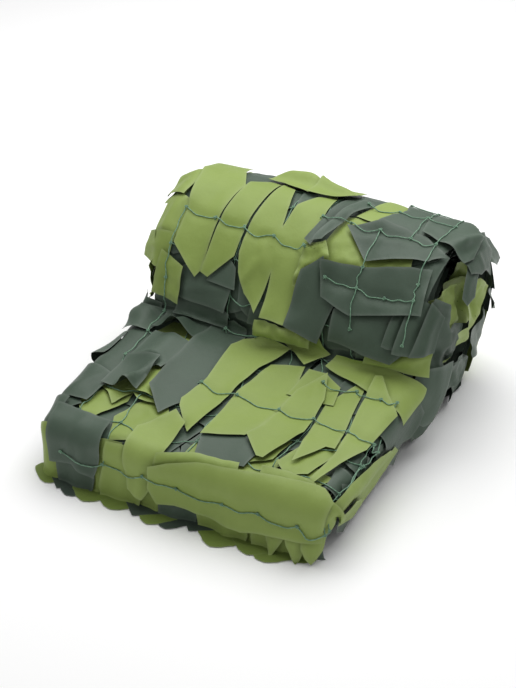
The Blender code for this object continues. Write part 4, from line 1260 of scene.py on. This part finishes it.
def strand_points(first, second, places, over, low, over_knots):
    """A strand's points in space: on the leaves, or under them and up at knots that lie over."""
    across, along = places[:, 0], places[:, 1]
    high = BAND.height_of(BAND.top, across, along, 0.003)
    if over:
        height = high
    else:
        t = np.linspace(0, 1, len(places))
        share = np.zeros(len(places))
        if first in over_knots:
            share = np.maximum(share, smooth(1 - t / DIVE))
        if second in over_knots:
            share = np.maximum(share, smooth(1 - (1 - t) / DIVE))
        height = BAND.height_of(low, across, along, 0.002) * (1 - share) + high * share
    for _ in range(3):
        softer = np.convolve(np.pad(height, 1, mode="edge"), (0.25, 0.5, 0.25), "valid")
        height = np.maximum(height, softer)
    return BAND.place(across, along, height + STRAND_RADIUS * 1.4)


def add_tube(shape, uv, points, radius):
    """A closed round tube along a line of points."""
    tangents = np.gradient(points, axis=0)
    tangents /= np.maximum(1e-9, np.linalg.norm(tangents, axis=1))[:, None]
    side = np.cross(tangents[0], (0.3, 0.2, 1.0))
    rings = []
    for point, tangent in zip(points, tangents):
        side = side - tangent * (side @ tangent)
        side /= np.linalg.norm(side)
        up = np.cross(tangent, side)
        ring = []
        for k in range(TUBE_SIDES):
            angle = 2 * math.pi * k / TUBE_SIDES
            ring.append(shape.verts.new(point + radius * (side * math.cos(angle) + up * math.sin(angle))))
        rings.append(ring)
    for row, (low, high) in enumerate(zip(rings, rings[1:])):
        for k in range(TUBE_SIDES):
            j = (k + 1) % TUBE_SIDES
            face = shape.faces.new((low[k], low[j], high[j], high[k]))
            face.smooth = True
            for loop, (a, b) in zip(face.loops, ((0, k), (0, k + 1), (1, k + 1), (1, k))):
                loop[uv].uv = (b / TUBE_SIDES, (row + a) * 0.35)
    shape.faces.new(reversed(rings[0]))
    shape.faces.new(rings[-1])


def add_knot(shape, uv, place, height, rng):
    """A knot: a small trefoil of twine."""
    near = np.array([[-1, 0], [1, 0], [0, -1], [0, 1]]) * 0.001 + place
    left, right, low, high = BAND.place(near[:, 0], near[:, 1], np.full(4, height))
    across = (right - left) / np.linalg.norm(right - left)
    along = (high - low) / np.linalg.norm(high - low)
    out = np.cross(across, along)
    turn = rng.uniform(0, 6.28)
    points = []
    for t in np.linspace(0, 2 * math.pi, 27):
        x = math.sin(t) + 2 * math.sin(2 * t)
        y = math.cos(t) - 2 * math.cos(2 * t)
        a, b = x * math.cos(turn) - y * math.sin(turn), x * math.sin(turn) + y * math.cos(turn)
        lift = 0.0008 - 0.0009 * math.sin(3 * t)
        points.append((left + right) / 2 + 0.0011 * (a * across + b * along) + out * lift)
    add_tube(shape, uv, np.array(points), STRAND_RADIUS * 0.85)


def make_netting(knots, strands, low):
    rng = random.Random(43)
    over_knots = {knot for first, second, _, over in strands if over for knot in (first, second)}
    shape = bmesh.new()
    uv = shape.loops.layers.uv.new("cloth")
    for knot, place in knots.items():
        grid = BAND.top if knot in over_knots else low
        height = BAND.height_of(grid, place[:1], place[1:], 0.003)[0] + 0.0016
        add_knot(shape, uv, place, height, rng)
    for first, second, places, over in strands:
        points = strand_points(first, second, places, over, low, over_knots)
        add_tube(shape, uv, points, STRAND_RADIUS)
    bmesh.ops.recalc_face_normals(shape, faces=shape.faces)
    mesh = bpy.data.meshes.new("netting_twine")
    shape.to_mesh(mesh)
    shape.free()
    netting = add_object("netting_twine", mesh)
    dress(netting, TWINE, "twine", "netting")


# The stage


def make_stage():
    """A plain pale floor and soft light."""
    bpy.ops.object.select_all(action="DESELECT")
    bpy.ops.mesh.primitive_plane_add(size=12.0, location=(0.0, 0.0, 0.0))
    floor = bpy.context.object
    floor.name = "floor"
    shader = Shader("pale_floor", roughness=0.9, specular_ior_level=0.1, base_color=(0.97, 0.97, 0.97, 1.0))
    floor.data.materials.append(shader.material)
    world = bpy.data.worlds.new("studio")
    world.use_nodes = True
    background = world.node_tree.nodes["Background"]
    background.inputs["Color"].default_value = (1.0, 1.0, 1.0, 1.0)
    background.inputs["Strength"].default_value = 0.4
    bpy.context.scene.world = world
    for name, place, size, power in (
        ("top", (-0.1, 0.7, 2.5), 3.0, 84.0),
        ("left", (-2.4, -1.0, 1.8), 1.6, 4.0),
    ):
        light = bpy.data.lights.new(name, "AREA")
        light.size = size
        light.energy = power
        lamp = bpy.data.objects.new(name, light)
        bpy.context.scene.collection.objects.link(lamp)
        lamp.location = place
        aim = Vector((0.0, -0.15, 0.15)) - Vector(place)
        lamp.rotation_euler = aim.to_track_quat("-Z", "Y").to_euler()
    bpy.context.scene.view_settings.view_transform = "Standard"


def make_camera():
    """The camera, at the angle from which the net is seen."""
    azimuth, elevation, distance = math.radians(28.09), math.radians(31.54), 3.8135
    target = Vector((-0.0913, -0.1003, 0.08))
    back = Vector(
        (
            math.sin(azimuth) * math.cos(elevation),
            -math.cos(azimuth) * math.cos(elevation),
            math.sin(elevation),
        )
    )
    data = bpy.data.cameras.new("camera")
    data.lens = 99.43
    data.sensor_width = 36.0
    camera = bpy.data.objects.new("camera", data)
    bpy.context.scene.collection.objects.link(camera)
    camera.location = target + back * distance
    camera.rotation_euler = (-back).to_track_quat("-Z", "Y").to_euler()
    bpy.context.scene.camera = camera


def main():
    make_lap_folds()
    make_roll_turns()
    knots, strands = net_strands()
    pull_in(strands)
    fills = [fill_leaves(row, seed) for seed, row in enumerate(FILLS, start=1)]
    front = left_of_lap() + right_of_lap() + front_of_lap() + front_of_roll()
    backs = back_leaves()
    under = [leaf for _, leaves in fills for leaf in leaves]
    above = [leaf for _, _, leaves in backs for leaf in leaves] + [leaf for _, _, leaf in front]
    for leaf in reversed(under + above):
        leaf.press(BAND)
    for leaf in under:
        leaf.drape()
    low = lay_low_strands(strands)
    for leaf in above:
        leaf.drape()
    for name, leaves in fills:
        finish_leaves(name, leaves, "draped")
    for name, nodes, leaf in front:
        finish_leaves(name, [leaf], "draped", *nodes)
    for name, node, leaves in backs:
        finish_leaves(name, leaves, "draped", node)
    for side, ground in ENDS.items():
        rows = end_leaves(side)
        for _, _, leaf in reversed(rows):
            leaf.press(ground)
        for _, _, leaf in rows:
            leaf.drape()
        for name, nodes, leaf in rows:
            finish_leaves(name, [leaf], "gathered", *nodes)
    make_netting(knots, strands, low)
    make_stage()
    make_camera()


main()
